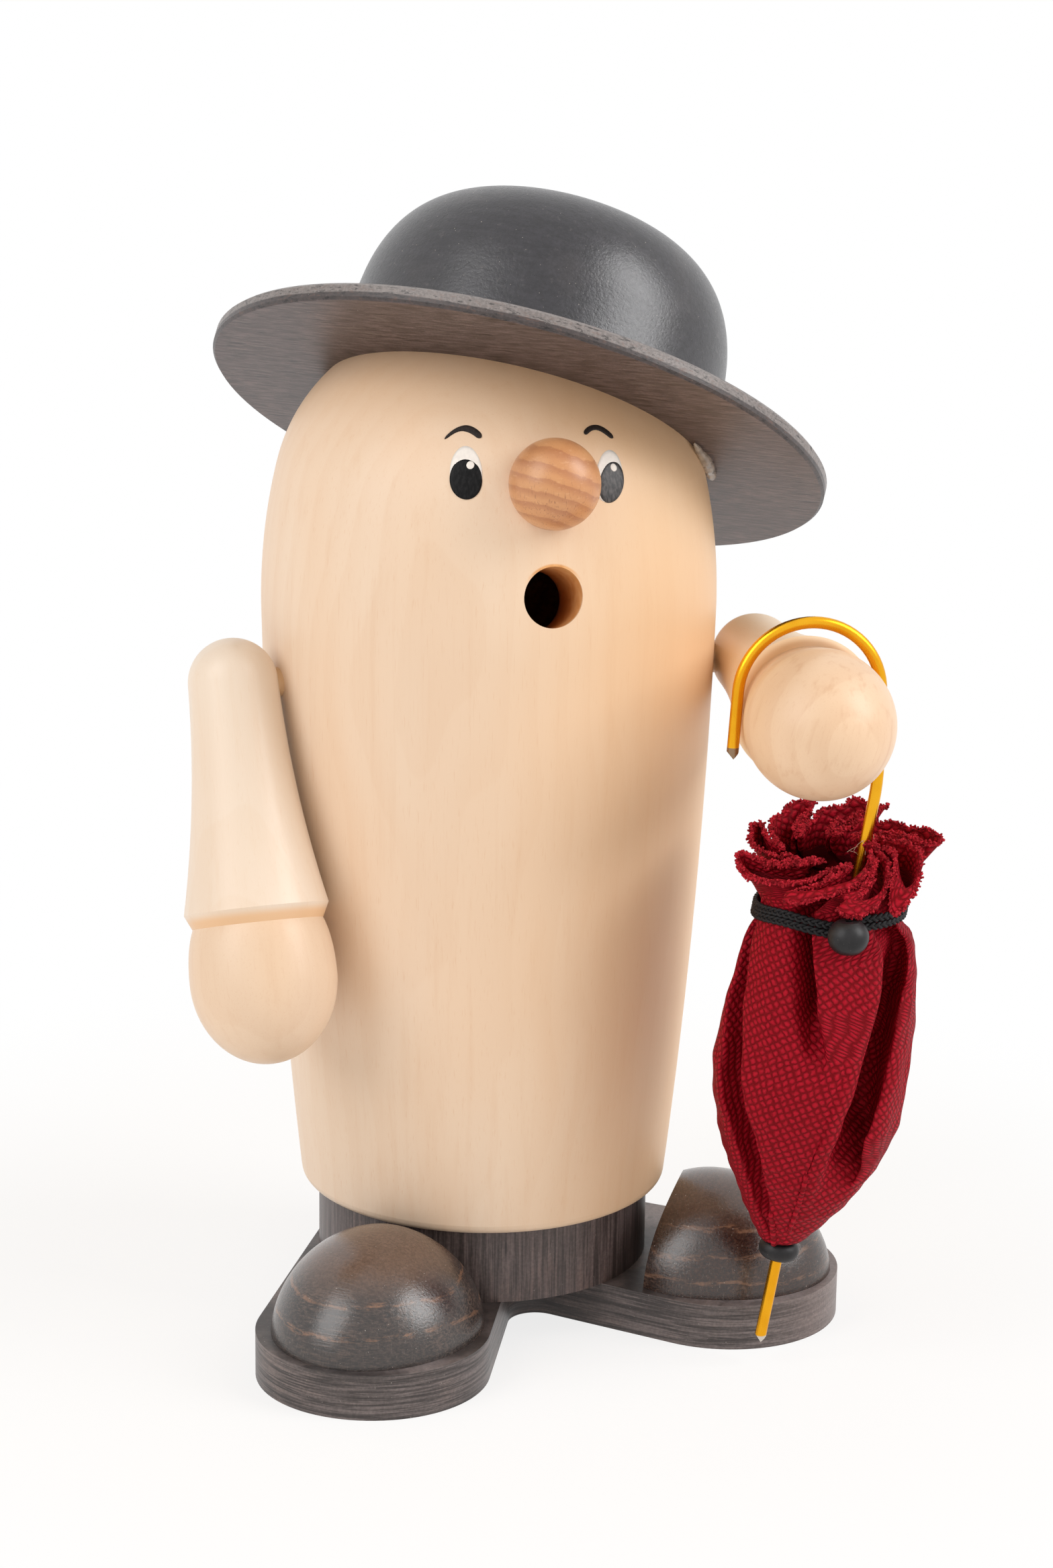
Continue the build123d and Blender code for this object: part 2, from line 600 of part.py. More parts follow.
PARTS = {
    "sole_plate": make_sole_plate(),
    "shoe_upper_right": make_shoe_upper(-1),
    "shoe_upper_left": make_shoe_upper(1),
    "trouser_disc": make_trouser_disc(),
    "base_screws": pair(screw_place, make_screw),
    "cone_dish": make_cone_dish(),
    "dish_tacks": pair(tack_place, make_tack),
    "incense_cone": make_incense_cone(),
    "body_shell": make_body_shell(),
    "nose": Pos(*NOSE_CENTRE) * Sphere(NOSE_R),
    "hat_brim": make_hat_brim(),
    "hat_crown": make_hat_crown(),
    "hat_dowel": hat_dowel(),
    "shoulder_peg_right": RIGHT_ARM.shoulder * shoulder_peg(),
    "shoulder_peg_left": LEFT_ARM.shoulder * shoulder_peg(),
    "sleeve_right": make_sleeve(RIGHT_ARM),
    "sleeve_left": make_sleeve(LEFT_ARM),
    "hand_right": make_hand(RIGHT_ARM, gripped=False),
    "hand_left": make_hand(LEFT_ARM, gripped=True),
    "hand_peg_right": RIGHT_ARM.sleeve * hand_peg(),
    "hand_peg_left": LEFT_ARM.sleeve * hand_peg(),
    "umbrella_rod": make_umbrella_rod(),
    "umbrella_canopy": make_umbrella_canopy(),
    "umbrella_tie_cord": make_umbrella_tie_cord(),
    "umbrella_tie_bead": make_umbrella_tie_bead(),
    "umbrella_ferrule": make_umbrella_ferrule(),
}

os.makedirs("parts", exist_ok=True)
for name, part in PARTS.items():
    export_step(part, f"parts/{name}.step")
print("wrist centre", tuple(round(v, 3) for v in GRIP.position))
for label, arm in (("right", RIGHT_ARM), ("left", LEFT_ARM)):
    print(label, "shoulder", tuple(round(v, 3) for v in arm.shoulder.position))
print("chamber top", round(CHAMBER_Z, 3), "mouth", round(skin_radius(MOUTH_Z), 3), MOUTH_Z)
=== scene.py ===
import math
import bmesh
import bpy
from mathutils import Matrix, Vector, noise
from mathutils.bvhtree import BVHTree


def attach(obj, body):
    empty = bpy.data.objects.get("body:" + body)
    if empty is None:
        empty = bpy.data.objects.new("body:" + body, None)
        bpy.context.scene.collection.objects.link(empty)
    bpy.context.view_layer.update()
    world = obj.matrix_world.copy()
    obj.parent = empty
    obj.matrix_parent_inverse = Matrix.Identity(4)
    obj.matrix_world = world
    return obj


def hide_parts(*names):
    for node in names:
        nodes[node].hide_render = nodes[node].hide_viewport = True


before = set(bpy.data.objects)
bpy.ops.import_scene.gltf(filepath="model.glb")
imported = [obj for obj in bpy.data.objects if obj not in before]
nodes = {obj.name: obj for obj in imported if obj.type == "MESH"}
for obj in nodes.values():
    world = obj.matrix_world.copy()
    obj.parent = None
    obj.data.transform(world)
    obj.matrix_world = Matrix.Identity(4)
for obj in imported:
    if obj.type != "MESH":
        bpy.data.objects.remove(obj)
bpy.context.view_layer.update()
MM = 0.001


# Shader building
def srgb(red, green, blue):
    """Colour from the 0 to 255 values of a swatch, as linear RGBA."""
    linear = [c / 12.92 if c <= 0.04045 else ((c + 0.055) / 1.055) ** 2.4
              for c in (red / 255, green / 255, blue / 255)]
    return (*linear, 1.0)


class Value:
    """A socket of a finish; arithmetic on it adds Math nodes."""

    def __init__(self, finish, socket):
        self.finish = finish
        self.socket = socket

    def __add__(self, other):
        return self.finish.math("ADD", self, other)

    def __sub__(self, other):
        return self.finish.math("SUBTRACT", self, other)

    def __mul__(self, other):
        return self.finish.math("MULTIPLY", self, other)

    def __truediv__(self, other):
        return self.finish.math("DIVIDE", self, other)

    def __mod__(self, other):
        return self.finish.math("FLOORED_MODULO", self, other)

    __radd__ = __add__
    __rmul__ = __mul__


def add_node(tree, kind, settings, sockets):
    """Adds a node: its settings first, then values or links for its sockets."""
    made = tree.nodes.new(kind)
    for key, value in (settings or {}).items():
        setattr(made, key, value)
    for key, value in (sockets or {}).items():
        value = value.socket if isinstance(value, Value) else value
        if isinstance(value, bpy.types.NodeSocket):
            tree.links.new(value, made.inputs[key])
        else:
            made.inputs[key].default_value = value
    return made


class Finish:
    """A procedural material under construction."""

    def __init__(self, name):
        self.material = bpy.data.materials.new(name)
        self.material.use_nodes = True
        self.tree = self.material.node_tree
        self.tree.nodes.clear()

    def node(self, kind, settings=None, sockets=None, out=0):
        return Value(self, add_node(self.tree, kind, settings, sockets).outputs[out])

    def math(self, operation, *values):
        return self.node("ShaderNodeMath", {"operation": operation}, dict(enumerate(values)))

    def mix(self, share, first, second, blend="MIX"):
        """Mixes two colours."""
        return self.node("ShaderNodeMix", {"data_type": "RGBA", "blend_type": blend},
                         {0: share, 6: first, 7: second}, out=2)

    def step(self, value, low, high):
        """Smooth rise from 0 at low to 1 at high."""
        return self.node("ShaderNodeMapRange", {"interpolation_type": "SMOOTHSTEP"},
                         {"Value": value, "From Min": low, "From Max": high})

    def near(self, value, middle, reach):
        """1 at middle, fading to 0 at reach from it."""
        return self.step(self.math("ABSOLUTE", value - middle), reach, reach * 0.25)

    def place(self, origin=(0, 0, 0), turn=(0, 0, 0)):
        """Position on the piece in millimetres, in a frame set by origin and turn in degrees."""
        at = self.node("ShaderNodeTexCoord", out="Object")
        return self.node("ShaderNodeMapping", {"vector_type": "TEXTURE"}, {
            "Vector": at, "Location": [c * MM for c in origin],
            "Rotation": [math.radians(c) for c in turn], "Scale": (MM, MM, MM)})

    def stretch(self, vector, factors, shift=(0, 0, 0)):
        return self.node("ShaderNodeVectorMath", {"operation": "MULTIPLY_ADD"},
                         {0: vector, 1: factors, 2: shift})

    def parts(self, vector):
        """The three numbers of a vector."""
        split = self.node("ShaderNodeSeparateXYZ", sockets={0: vector})
        return [Value(self, socket) for socket in split.socket.node.outputs]

    def noise(self, vector, factors=(1, 1, 1), shift=(0, 0, 0), detail=3.0, rough=0.55):
        """Noise whose cells are 1 / factors millimetres long."""
        return self.node("ShaderNodeTexNoise", {"noise_dimensions": "3D"}, {
            "Vector": self.stretch(vector, factors, shift), "Scale": 1.0, "Detail": detail,
            "Roughness": rough})

    def length(self, *numbers):
        """Root of the sum of squares."""
        total = numbers[0] * numbers[0]
        for number in numbers[1:]:
            total = total + number * number
        return self.math("SQRT", total)

    def bump(self, height, depth_mm, strength=1.0):
        return self.node("ShaderNodeBump", sockets={
            "Height": height, "Distance": depth_mm * MM, "Strength": strength})

    def close(self, colour, rough, bump, **constants):
        """Ends the material with one Principled shader."""
        sockets = {"Base Color": colour, "Roughness": rough, "Normal": bump}
        for key, value in constants.items():
            sockets[key.replace("_", " ")] = value
        self.output(self.node("ShaderNodeBsdfPrincipled", sockets=sockets))
        return self.material

    def output(self, shader):
        end = self.tree.nodes.new("ShaderNodeOutputMaterial")
        self.tree.links.new(shader.socket, end.inputs["Surface"])


# Pale turned wood
def pale_wood(name, tones, local, seed, streak=0.12, dash=0.14, pores=0.0, ring=0.07, pith=(28, 52)):
    """Untreated, finely sanded wood with its fibres along local Z. Tones: light, warm, line."""
    f = Finish(name)
    at = f.place(*local)
    light, warm, line = tones
    slow = f.noise(at, (0.04, 0.04, 0.011), (seed, 0, seed), detail=2)
    colour = f.mix(f.step(slow, 0.34, 0.68), light, warm)
    x, y, _ = f.parts(f.stretch(at, (1, 1, 1), (*pith, 0)))
    drift = f.noise(at, (0.026, 0.026, 0.012), (0, seed, 2), detail=2)
    phase = (f.length(x, y) + drift * 26.0) / 4.8
    late = f.step(phase % 1.0, 0.2, 0.9) * f.step(phase % 1.0, 1.0, 0.93)
    colour = f.mix(late * ring, colour, line)
    band = f.noise(at, (0.55, 0.55, 0.012), (seed, 4, 1), detail=3)
    colour = f.mix(f.step(band, 0.5, 0.78) * streak, colour, line)
    fibre = f.noise(at, (4.2, 4.2, 0.2), (2, seed, 5), detail=2, rough=0.6)
    colour = f.mix(f.step(fibre, 0.58, 0.76) * dash, colour, line)
    if pores:
        pore = f.noise(at, (4.5, 4.5, 2.6), (seed, 8, 3), detail=1)
        colour = f.mix(f.step(pore, 0.6, 0.76) * pores, colour, line)
    return f, at, colour, fibre


def sanded_wood(name, tones, local, seed, cuff=None, **more):
    """Pale wood of the arms and dowels; cuff is the mouth of a sleeve, where end grain darkens it."""
    f, at, colour, fibre = pale_wood(name, tones, local, seed, **more)
    if cuff:
        start, tone = cuff
        _, _, z = f.parts(at)
        colour = f.mix(f.step(z, -start, -start - 1.6) * 0.85, colour, tone)
    fuzz = f.noise(at, (0.9, 0.9, 0.2), (seed, 1, 6), detail=3)
    return f.close(colour, fibre * 0.1 + 0.36, f.bump(fibre + fuzz * 0.4, 0.03, 0.3),
                   Specular_IOR_Level=0.45, Coat_Weight=0.22, Coat_Roughness=0.36)


MOUTH = (0, -38.97, 135.1), (-15, 0, 0)
BORE_R = 5.2
BODY_R = 38.8
CHAMBER_R = 26.6
CHAMBER_TOP = 138.9


def body_wood():
    """Pale barrel; the mouth bore is bare brown wood and the chamber is darkened by smoke."""
    tones = srgb(241, 222, 202), srgb(239, 214, 189), srgb(214, 166, 120)
    f, at, colour, fibre = pale_wood("pale_turned_body_wood", tones, ((0, 0, 0), (0, 0, 0)), 4.2,
                                     streak=0.13, dash=0.22, ring=0.06)
    x, y, z = f.parts(at)
    bx, by, bz = f.parts(f.place(*MOUTH))
    from_axis = f.length(x, y)
    in_bore = f.step(f.length(bx, bz), BORE_R + 0.4, BORE_R) * f.step(from_axis, BODY_R, BODY_R - 0.35)
    in_chamber = f.step(from_axis, CHAMBER_R + 0.6, CHAMBER_R) * f.step(z, CHAMBER_TOP, CHAMBER_TOP - 0.5)
    soot = f.noise(at, (0.55, 0.55, 0.55), detail=4)
    brown = f.mix(f.step(soot, 0.3, 0.7), srgb(238, 186, 128), srgb(222, 160, 98))
    # the bore darkens deeper in: partly smoke browning, partly painted shade
    bore_smoke_and_painted_shade = f.mix(f.step(by, 3.0, 14.0), brown, srgb(184, 112, 54))
    dark = f.mix(f.step(soot, 0.35, 0.7), srgb(176, 108, 58), srgb(140, 84, 44))
    # warmer towards the figure's left side: partly the wood's own tone, partly painted warm shade
    aside = x * 0.96 - y * 0.28
    colour = f.mix(f.step(aside, -8.0, 36.0) * 0.6, colour, srgb(242, 202, 154))
    # warmer towards the top, under the brim: painted warm shade
    colour = f.mix(f.step(z, 150.0, 174.0) * 0.5, colour, srgb(240, 194, 144))
    colour = f.mix(in_chamber, f.mix(in_bore, colour, bore_smoke_and_painted_shade), dark)
    turning = f.noise(at, (0.02, 0.02, 3.0), detail=2)
    return f.close(colour, fibre * 0.1 + 0.4, f.bump(fibre + turning * 0.3, 0.03, 0.3),
                   Specular_IOR_Level=0.45, Coat_Weight=0.08, Coat_Roughness=0.4)


def nose_wood():
    """Waxed beech ball: growth rings that fall to the right, and short dark rays."""
    f = Finish("waxed_beech_nose")
    at = f.place((0, -38.41, 153.7), (0, 0, -16.2))
    x, _, z = f.parts(at)
    wave = f.noise(at, (0.2, 0.12, 0.2), detail=2)
    fine = f.noise(at, (1.3, 0.6, 2.2), detail=3)
    phase = (f.length(x + 5.0, z + 18.0) + wave * 1.5 + fine * 0.45) / 2.15
    late = f.step(phase % 1.0, 0.25, 0.88) * f.step(phase % 1.0, 1.0, 0.9)
    slow = f.noise(at, (0.12, 0.12, 0.12), (3, 3, 3), detail=2)
    base = f.mix(f.step(slow, 0.3, 0.7), srgb(216, 161, 113), srgb(205, 146, 98))
    colour = f.mix(late * 0.5, base, srgb(164, 100, 66))
    ray = f.noise(at, (5.0, 5.0, 0.8), (3, 1, 8), detail=1)
    low = f.step(z, 3.0, -4.0) * 0.4 + 0.25
    colour = f.mix(f.step(ray, 0.6, 0.74) * low, colour, srgb(140, 82, 52))
    pale = f.noise(at, (1.0, 1.0, 3.4), (9, 4, 2), detail=2)
    colour = f.mix(f.step(pale, 0.58, 0.75) * 0.3, colour, srgb(232, 188, 150))
    return f.close(colour, fine * 0.14 + 0.3, f.bump(ray + late * 0.3, 0.03, 0.3),
                   Specular_IOR_Level=0.5, Coat_Weight=0.4, Coat_Roughness=0.42)


# Stained wood of the hat, shoes and base
BLACKENED = srgb(24, 21, 22)
DUST = srgb(196, 190, 186)
RUBBED = srgb(158, 118, 92)


class Stain:
    """Dark water stain: fibres, places where it took thinly, scratches and dust."""

    def __init__(self, name, deep, tone, local, seed, along):
        self.f = Finish(name)
        self.seed = seed
        self.at = self.f.place(*local)
        self.fibre = self.f.noise(self.at, along, (seed, seed, 0), detail=4, rough=0.66)
        self.slow = self.f.noise(self.at, (0.07, 0.07, 0.07), (0, seed, 0), detail=3)
        self.colour = self.f.mix(self.f.step(self.fibre, 0.36, 0.68), deep, tone)
        self.height = self.fibre

    def over(self, share, colour):
        self.colour = self.f.mix(share, self.colour, colour)

    def thin(self, share, colour):
        """Fibres that took less stain."""
        self.over(self.f.step(self.fibre * 0.55 + self.slow * 0.6, 0.6, 0.76) * share, colour)

    def scratches(self, across, share):
        """Fine pale and dark scratches; across says how narrow they are each way."""
        score = self.f.noise(self.at, across, (self.seed, 3, 7), detail=2, rough=0.7)
        self.over(self.f.step(score, 0.6, 0.72) * share, srgb(118, 108, 104))
        self.over(self.f.step(score, 0.42, 0.3) * share, BLACKENED)
        self.height = self.height + score * 0.5

    def close(self, rough, dust, pebble=0.0, gloss=0.3, coat=0.08):
        f = self.f
        grit = f.noise(self.at, (1.9, 1.9, 1.9), (2, self.seed, 4), detail=3, rough=0.6)
        self.over(f.step(grit, 0.62, 0.4) * 0.25, BLACKENED)
        speck = f.noise(self.at, (2.6, 2.6, 2.6), (self.seed, 9, 3), detail=1)
        self.over(f.step(speck, 0.76, 0.81) * dust, DUST)
        return f.close(self.colour, grit * 0.24 + (rough - 0.12),
                       f.bump(self.height + grit * pebble, 0.09, 0.5),
                       Specular_IOR_Level=gloss, Coat_Weight=coat, Coat_Roughness=0.38)


HAT_LOCAL = (6.664, 7.147, 154.43), (0, 31, 47)
BRIM_R = 54.4


def crown_stain():
    s = Stain("grey_stained_crown", srgb(34, 33, 39), srgb(50, 49, 56), HAT_LOCAL, 2.0, (0.9, 0.12, 0.9))
    f = s.f
    s.over(f.step(s.slow, 0.5, 0.75) * 0.3, srgb(86, 82, 84))
    blot = f.noise(s.at, (0.7, 0.7, 0.7), (4, 1, 9), detail=4, rough=0.7)
    s.over(f.step(blot, 0.5, 0.3) * 0.35, BLACKENED)
    s.over(f.step(blot, 0.58, 0.72) * 0.3, srgb(108, 104, 106))
    s.height = blot
    return s.close(0.3, 0.75, pebble=1.2, gloss=0.68)


def brim_stain():
    """Straight fine grain on the faces; the edge shows two plies and worn streaks."""
    s = Stain("grey_stained_brim", srgb(78, 67, 67), srgb(112, 98, 99), HAT_LOCAL, 6.0, (1.5, 0.2, 1.5))
    f = s.f
    x, y, z = f.parts(s.at)
    s.thin(0.5, srgb(128, 112, 110))
    s.scratches((1.3, 0.13, 1.3), 0.75)
    edge = f.step(f.length(x, y), BRIM_R - 0.6, BRIM_R - 0.3)
    ply = z + f.noise(s.at, (0.05, 0.05, 0.2), (1, 2, 3)) * 0.8
    s.over(edge * 0.85, srgb(72, 67, 68))
    s.over(edge * f.step(ply, 1.5, 1.75) * 0.85, srgb(150, 146, 147))
    pit = f.noise(s.at, (0.6, 0.6, 2.2), (8, 1, 6), detail=3, rough=0.7)
    s.over(edge * f.step(pit, 0.54, 0.7) * 0.45, srgb(122, 92, 80))
    s.over(edge * f.step(pit, 0.48, 0.32) * 0.8, BLACKENED)
    s.height = s.height + pit * edge
    return s.close(0.42, 0.5, pebble=0.5, gloss=0.45)


def shoe_stain(name, deep, tone, local, seed, bands, rubbed, top):
    """Egg-shaped upper; bands are the heights where the growth rings were rubbed bare, top is
    how much paler the upper part is made: painted light from above."""
    s = Stain(name, deep, tone, local, seed, (0.16, 1.8, 3.0))
    f = s.f
    _, _, z = f.parts(s.at)
    # paler, browner upper part of the dome: painted light from above
    s.over(f.step(z + s.slow * 4.0, 11.0, 16.0) * top, srgb(134, 108, 94))
    wave = f.noise(s.at, (0.05, 0.09, 0.1), (seed, 1, 4), detail=2)
    fine = f.noise(s.at, (0.34, 0.34, 1.8), (6, seed, 2), detail=3, rough=0.7)
    for height in bands:
        line = f.near(z + wave * 4.0 + fine * 0.5, height + 2.3, 0.55)
        s.over(line * f.step(fine, 0.42, 0.6) * rubbed, RUBBED)
    s.thin(0.4, srgb(118, 98, 88))
    s.scratches((3.0, 3.0, 0.3), 0.4)
    return s.close(0.21, 0.7, pebble=0.5, gloss=0.75, coat=0.15)


def sole_stain():
    s = Stain("brown_stained_sole", srgb(62, 57, 57), srgb(124, 116, 117), ((0, 0, 0), (0, 0, 20)), 5.0,
              (0.07, 0.07, 2.0))
    x, _, _ = s.f.parts(s.at)
    s.over(s.f.step(x, 18.0, 40.0) * 0.6, srgb(150, 137, 136))
    s.thin(0.5, srgb(130, 116, 112))
    s.scratches((0.3, 0.3, 3.2), 0.4)
    return s.close(0.42, 0.6, pebble=0.6, gloss=0.4)


def disc_stain():
    s = Stain("black_stained_disc", srgb(70, 62, 62), srgb(122, 110, 111), ((0, 0, 0), (0, 0, 0)), 7.0,
              (1.6, 1.6, 0.05))
    s.thin(0.35, srgb(112, 86, 78))
    s.scratches((3.0, 3.0, 0.16), 0.45)
    return s.close(0.4, 0.3, pebble=0.3, gloss=0.4)


# Metal, cord and cloth
def gold_wire():
    """Gold anodised aluminium wire; the two nipped ends show bare metal."""
    f = Finish("gold_anodised_wire")
    at = f.place()
    x, _, z = f.parts(at)
    drawn = f.noise(at, (6, 6, 0.3), detail=2)
    tone = f.noise(at, (0.14, 0.14, 0.14), detail=2)
    colour = f.mix(f.step(tone, 0.3, 0.7) * 0.5, srgb(243, 178, 40), srgb(218, 142, 14))
    foot = f.step(z, 5.6, 5.4)
    hook = f.step(z, 110.3, 110.1) * f.step(x, 33.0, 32.0)
    colour = f.mix(hook, f.mix(foot, colour, srgb(206, 198, 188)), srgb(150, 122, 96))
    return f.close(colour, drawn * 0.12 + 0.2, f.bump(drawn, 0.02, 0.25), Metallic=1.0)


def black_lacquer(name, tone, rough=0.34):
    """Black lacquer of the beads."""
    f = Finish(name)
    at = f.place()
    soft = f.noise(at, (0.9, 0.9, 0.9))
    fine = f.noise(at, (5.0, 5.0, 5.0), detail=2)
    colour = f.mix(f.step(soft, 0.3, 0.7) * 0.5, tone, srgb(40, 39, 41))
    speck = f.step(f.noise(at, (3.1, 3.1, 3.1), (4, 4, 1), detail=2), 0.73, 0.8)
    colour = f.mix(speck * 0.25, colour, DUST)
    return f.close(colour, fine * 0.16 + rough, f.bump(fine, 0.03, 0.3), Specular_IOR_Level=0.35)


def enamel(name, colour, other, rough, gloss):
    """Brushed enamel paint of the face."""
    f = Finish(name)
    brush = f.noise(f.place(), (2.6, 2.6, 0.9))
    return f.close(f.mix(f.step(brush, 0.35, 0.7) * 0.6, colour, other), brush * 0.2 + rough,
                   f.bump(brush, 0.03, 0.4), Specular_IOR_Level=gloss)


YARN_WIDE = 1.16
YARN_LONG = 1.14
YARN_SLANT = math.radians(30)


def red_weave():
    """Coarse wine-red weave, laid out on the cut's own flat coordinates in millimetres."""
    f = Finish("wine_red_weave")
    flat = f.node("ShaderNodeUVMap", {"uv_map": "cut"})
    laid = f.stretch(flat, (1 / MM, 1 / MM, 1))
    wobble = f.noise(laid, (0.7, 0.7, 1), detail=2)
    sway = f.noise(laid, (0.7, 0.7, 1), (7, 3, 0), detail=2)
    u, v, _ = f.parts(laid)
    column = (u * math.cos(YARN_SLANT) + v * math.sin(YARN_SLANT)) / YARN_WIDE + wobble * 0.9
    row = (v * math.cos(YARN_SLANT) - u * math.sin(YARN_SLANT)) / YARN_LONG + sway * 0.9
    across = f.math("SINE", (column % 1.0) * math.pi)
    along = f.math("SINE", (row % 1.0) * math.pi)
    crown = across * along
    tone = f.node("ShaderNodeTexWhiteNoise", {"noise_dimensions": "2D"}, {
        "Vector": f.node("ShaderNodeCombineXYZ", sockets={
            0: f.math("FLOOR", column), 1: f.math("FLOOR", row)})})
    thread = f.noise(laid, (6.0, 1.6, 1), detail=2)
    # darker in the gaps between the yarn lumps: painted shade
    colour = f.mix(f.step(crown, 0.08, 0.9), srgb(112, 0, 14), srgb(176, 18, 42))
    colour = f.mix(tone * 0.3, colour, srgb(146, 6, 26))
    # paler on the crowns of the yarn lumps: painted sheen
    colour = f.mix(f.step(thread, 0.5, 0.75) * crown * 0.4, colour, srgb(196, 44, 62))
    lint = f.noise(laid, (0.9, 0.9, 1), (5, 2, 0), detail=2)
    colour = f.mix(f.step(lint, 0.77, 0.82) * 0.35, colour, srgb(206, 120, 126))
    return f.close(colour, thread * 0.15 + 0.55, f.bump(crown + thread * 0.25, 0.24, 0.9),
                   Specular_IOR_Level=0.12)


def frayed_yarn():
    f = Finish("frayed_red_yarn")
    at = f.place()
    tone = f.noise(at, (1.1, 1.1, 1.1), detail=2)
    fine = f.noise(at, (6.0, 6.0, 6.0), detail=2)
    colour = f.mix(f.step(tone, 0.3, 0.7), srgb(120, 8, 22), srgb(204, 42, 62))
    return f.close(colour, fine * 0.2 + 0.7, f.bump(fine, 0.05, 0.4), Specular_IOR_Level=0.2)


def pale_lint():
    f = Finish("pale_lint")
    fine = f.noise(f.place(), (3.0, 3.0, 3.0), detail=2)
    return f.close(f.mix(fine, srgb(232, 214, 200), srgb(206, 176, 160)), fine * 0.2 + 0.6,
                   f.bump(fine, 0.03, 0.3))


def black_cord():
    f = Finish("black_braided_cord")
    fine = f.noise(f.place(), (5.0, 5.0, 9.0))
    colour = f.mix(f.step(fine, 0.35, 0.75), srgb(10, 10, 11), srgb(40, 39, 43))
    return f.close(colour, fine * 0.25 + 0.42, f.bump(fine, 0.08, 0.5), Specular_IOR_Level=0.25)


def plain_metal(name, colour, other, rough):
    f = Finish(name)
    at = f.place()
    wear = f.noise(at, (0.6, 0.6, 0.6), detail=4)
    fine = f.noise(at, (4.0, 4.0, 4.0), detail=2)
    return f.close(f.mix(f.step(wear, 0.35, 0.7), colour, other), fine * 0.2 + rough,
                   f.bump(fine, 0.03, 0.3), Metallic=1.0)


def incense_paste():
    f = Finish("pressed_incense")
    grit = f.noise(f.place(), (2.4, 2.4, 2.4), detail=4, rough=0.7)
    return f.close(f.mix(f.step(grit, 0.35, 0.7), srgb(52, 40, 34), srgb(92, 72, 58)),
                   grit * 0.1 + 0.8, f.bump(grit, 0.15, 0.6))


def clear_glue():
    f = Finish("dried_glue")
    bubble = f.noise(f.place(), (0.8, 0.8, 0.8), detail=2)
    return f.close(f.mix(f.step(bubble, 0.3, 0.7), srgb(208, 196, 182), srgb(178, 164, 150)),
                   bubble * 0.1 + 0.16, f.bump(bubble, 0.2, 0.4), Alpha=0.55, Coat_Weight=0.4)


def set_finish(material, *names):
    for name in names:
        mesh = nodes[name].data
        mesh.materials.clear()
        mesh.materials.append(material)


RIGHT_ARM = (-46.607, -7.215, 115.3), (-19.8, 0, 4.4)
LEFT_ARM = (46.607, -7.215, 115.3), (-90.5, 0, -7.3)
CROSSWISE = (46.607, -7.215, 115.3), (0, 16, 0)     # the left hand's grain stands upright
SLEEVE_TONES = srgb(241, 230, 217), srgb(239, 223, 206), srgb(222, 188, 150)
# warmer, more orange copy of the sleeve wood for the left sleeve: painted warm shade
LEFT_SLEEVE_SHADE_TONES = srgb(252, 232, 202), srgb(250, 221, 184), srgb(230, 184, 136)
LEFT_HAND_TONES = srgb(237, 208, 178), srgb(233, 199, 163), srgb(204, 152, 108)
HAND_TONES = srgb(236, 213, 189), srgb(232, 203, 173), srgb(206, 158, 116)
CUFF = 37.8, srgb(236, 194, 148)
set_finish(body_wood(), "body_shell")
set_finish(nose_wood(), "nose")
set_finish(sanded_wood("pale_right_sleeve_wood", SLEEVE_TONES, RIGHT_ARM, 7.7, CUFF), "sleeve_right")
set_finish(sanded_wood("pale_left_sleeve_wood_painted_shade", LEFT_SLEEVE_SHADE_TONES, LEFT_ARM, 3.1, CUFF), "sleeve_left")
set_finish(sanded_wood("speckled_right_hand_wood", HAND_TONES, RIGHT_ARM, 1.9, pores=0.16), "hand_right")
set_finish(sanded_wood("speckled_left_hand_wood", LEFT_HAND_TONES, CROSSWISE, 5.3, pores=0.12,
                       streak=0.34, dash=0.22, ring=0.12, pith=(14, 6)), "hand_left")
set_finish(sanded_wood("dowel_wood", (srgb(230, 196, 154), srgb(218, 178, 134), srgb(186, 140, 98)),
                       ((0, 0, 0), (0, 90, 0)), 8.3),
           "shoulder_peg_right", "shoulder_peg_left", "hand_peg_right", "hand_peg_left", "hat_dowel")
set_finish(crown_stain(), "hat_crown")
set_finish(brim_stain(), "hat_brim")
set_finish(shoe_stain("brown_stained_right_shoe", srgb(42, 36, 34), srgb(76, 65, 61),
                      ((-27, -32, 8.1), (0, 0, -40)), 3.0, (4.6, 9.4), 0.6, 0.5), "shoe_upper_right")
set_finish(shoe_stain("brown_stained_left_shoe", srgb(38, 22, 15), srgb(68, 45, 34),
                      ((37, -20, 8.1), (0, 0, 61)), 9.0, (3.0, 7.0, 11.0), 0.45, 0.25), "shoe_upper_left")
set_finish(sole_stain(), "sole_plate")
set_finish(disc_stain(), "trouser_disc")
set_finish(gold_wire(), "umbrella_rod")
set_finish(black_lacquer("black_tie_bead", srgb(24, 24, 26)), "umbrella_tie_bead")
set_finish(black_lacquer("black_ferrule_bead", srgb(22, 21, 23), 0.38), "umbrella_ferrule")
set_finish(plain_metal("bright_screw_steel", srgb(172, 170, 166), srgb(140, 138, 134), 0.3),
           "base_screws", "dish_tacks")
set_finish(plain_metal("tin_plate", srgb(196, 196, 192), srgb(150, 146, 138), 0.28), "cone_dish")
set_finish(incense_paste(), "incense_cone")


# Mesh helpers
def make_piece(name, verts, faces, material, smooth=True):
    """A mesh object at the origin from points in millimetres."""
    mesh = bpy.data.meshes.new(name)
    mesh.from_pydata([Vector(v) * MM for v in verts], [], faces)
    mesh.materials.append(material)
    for face in mesh.polygons:
        face.use_smooth = smooth
    mesh.update()
    piece = bpy.data.objects.new(name, mesh)
    bpy.context.scene.collection.objects.link(piece)
    return piece


def tidy_normals(piece):
    build = bmesh.new()
    build.from_mesh(piece.data)
    bmesh.ops.remove_doubles(build, verts=build.verts, dist=1e-7)
    bmesh.ops.recalc_face_normals(build, faces=build.faces)
    build.to_mesh(piece.data)
    build.free()


NOT_ALONG = Vector((0.31, 0.17, 0.93))      # a direction that no tube here runs in


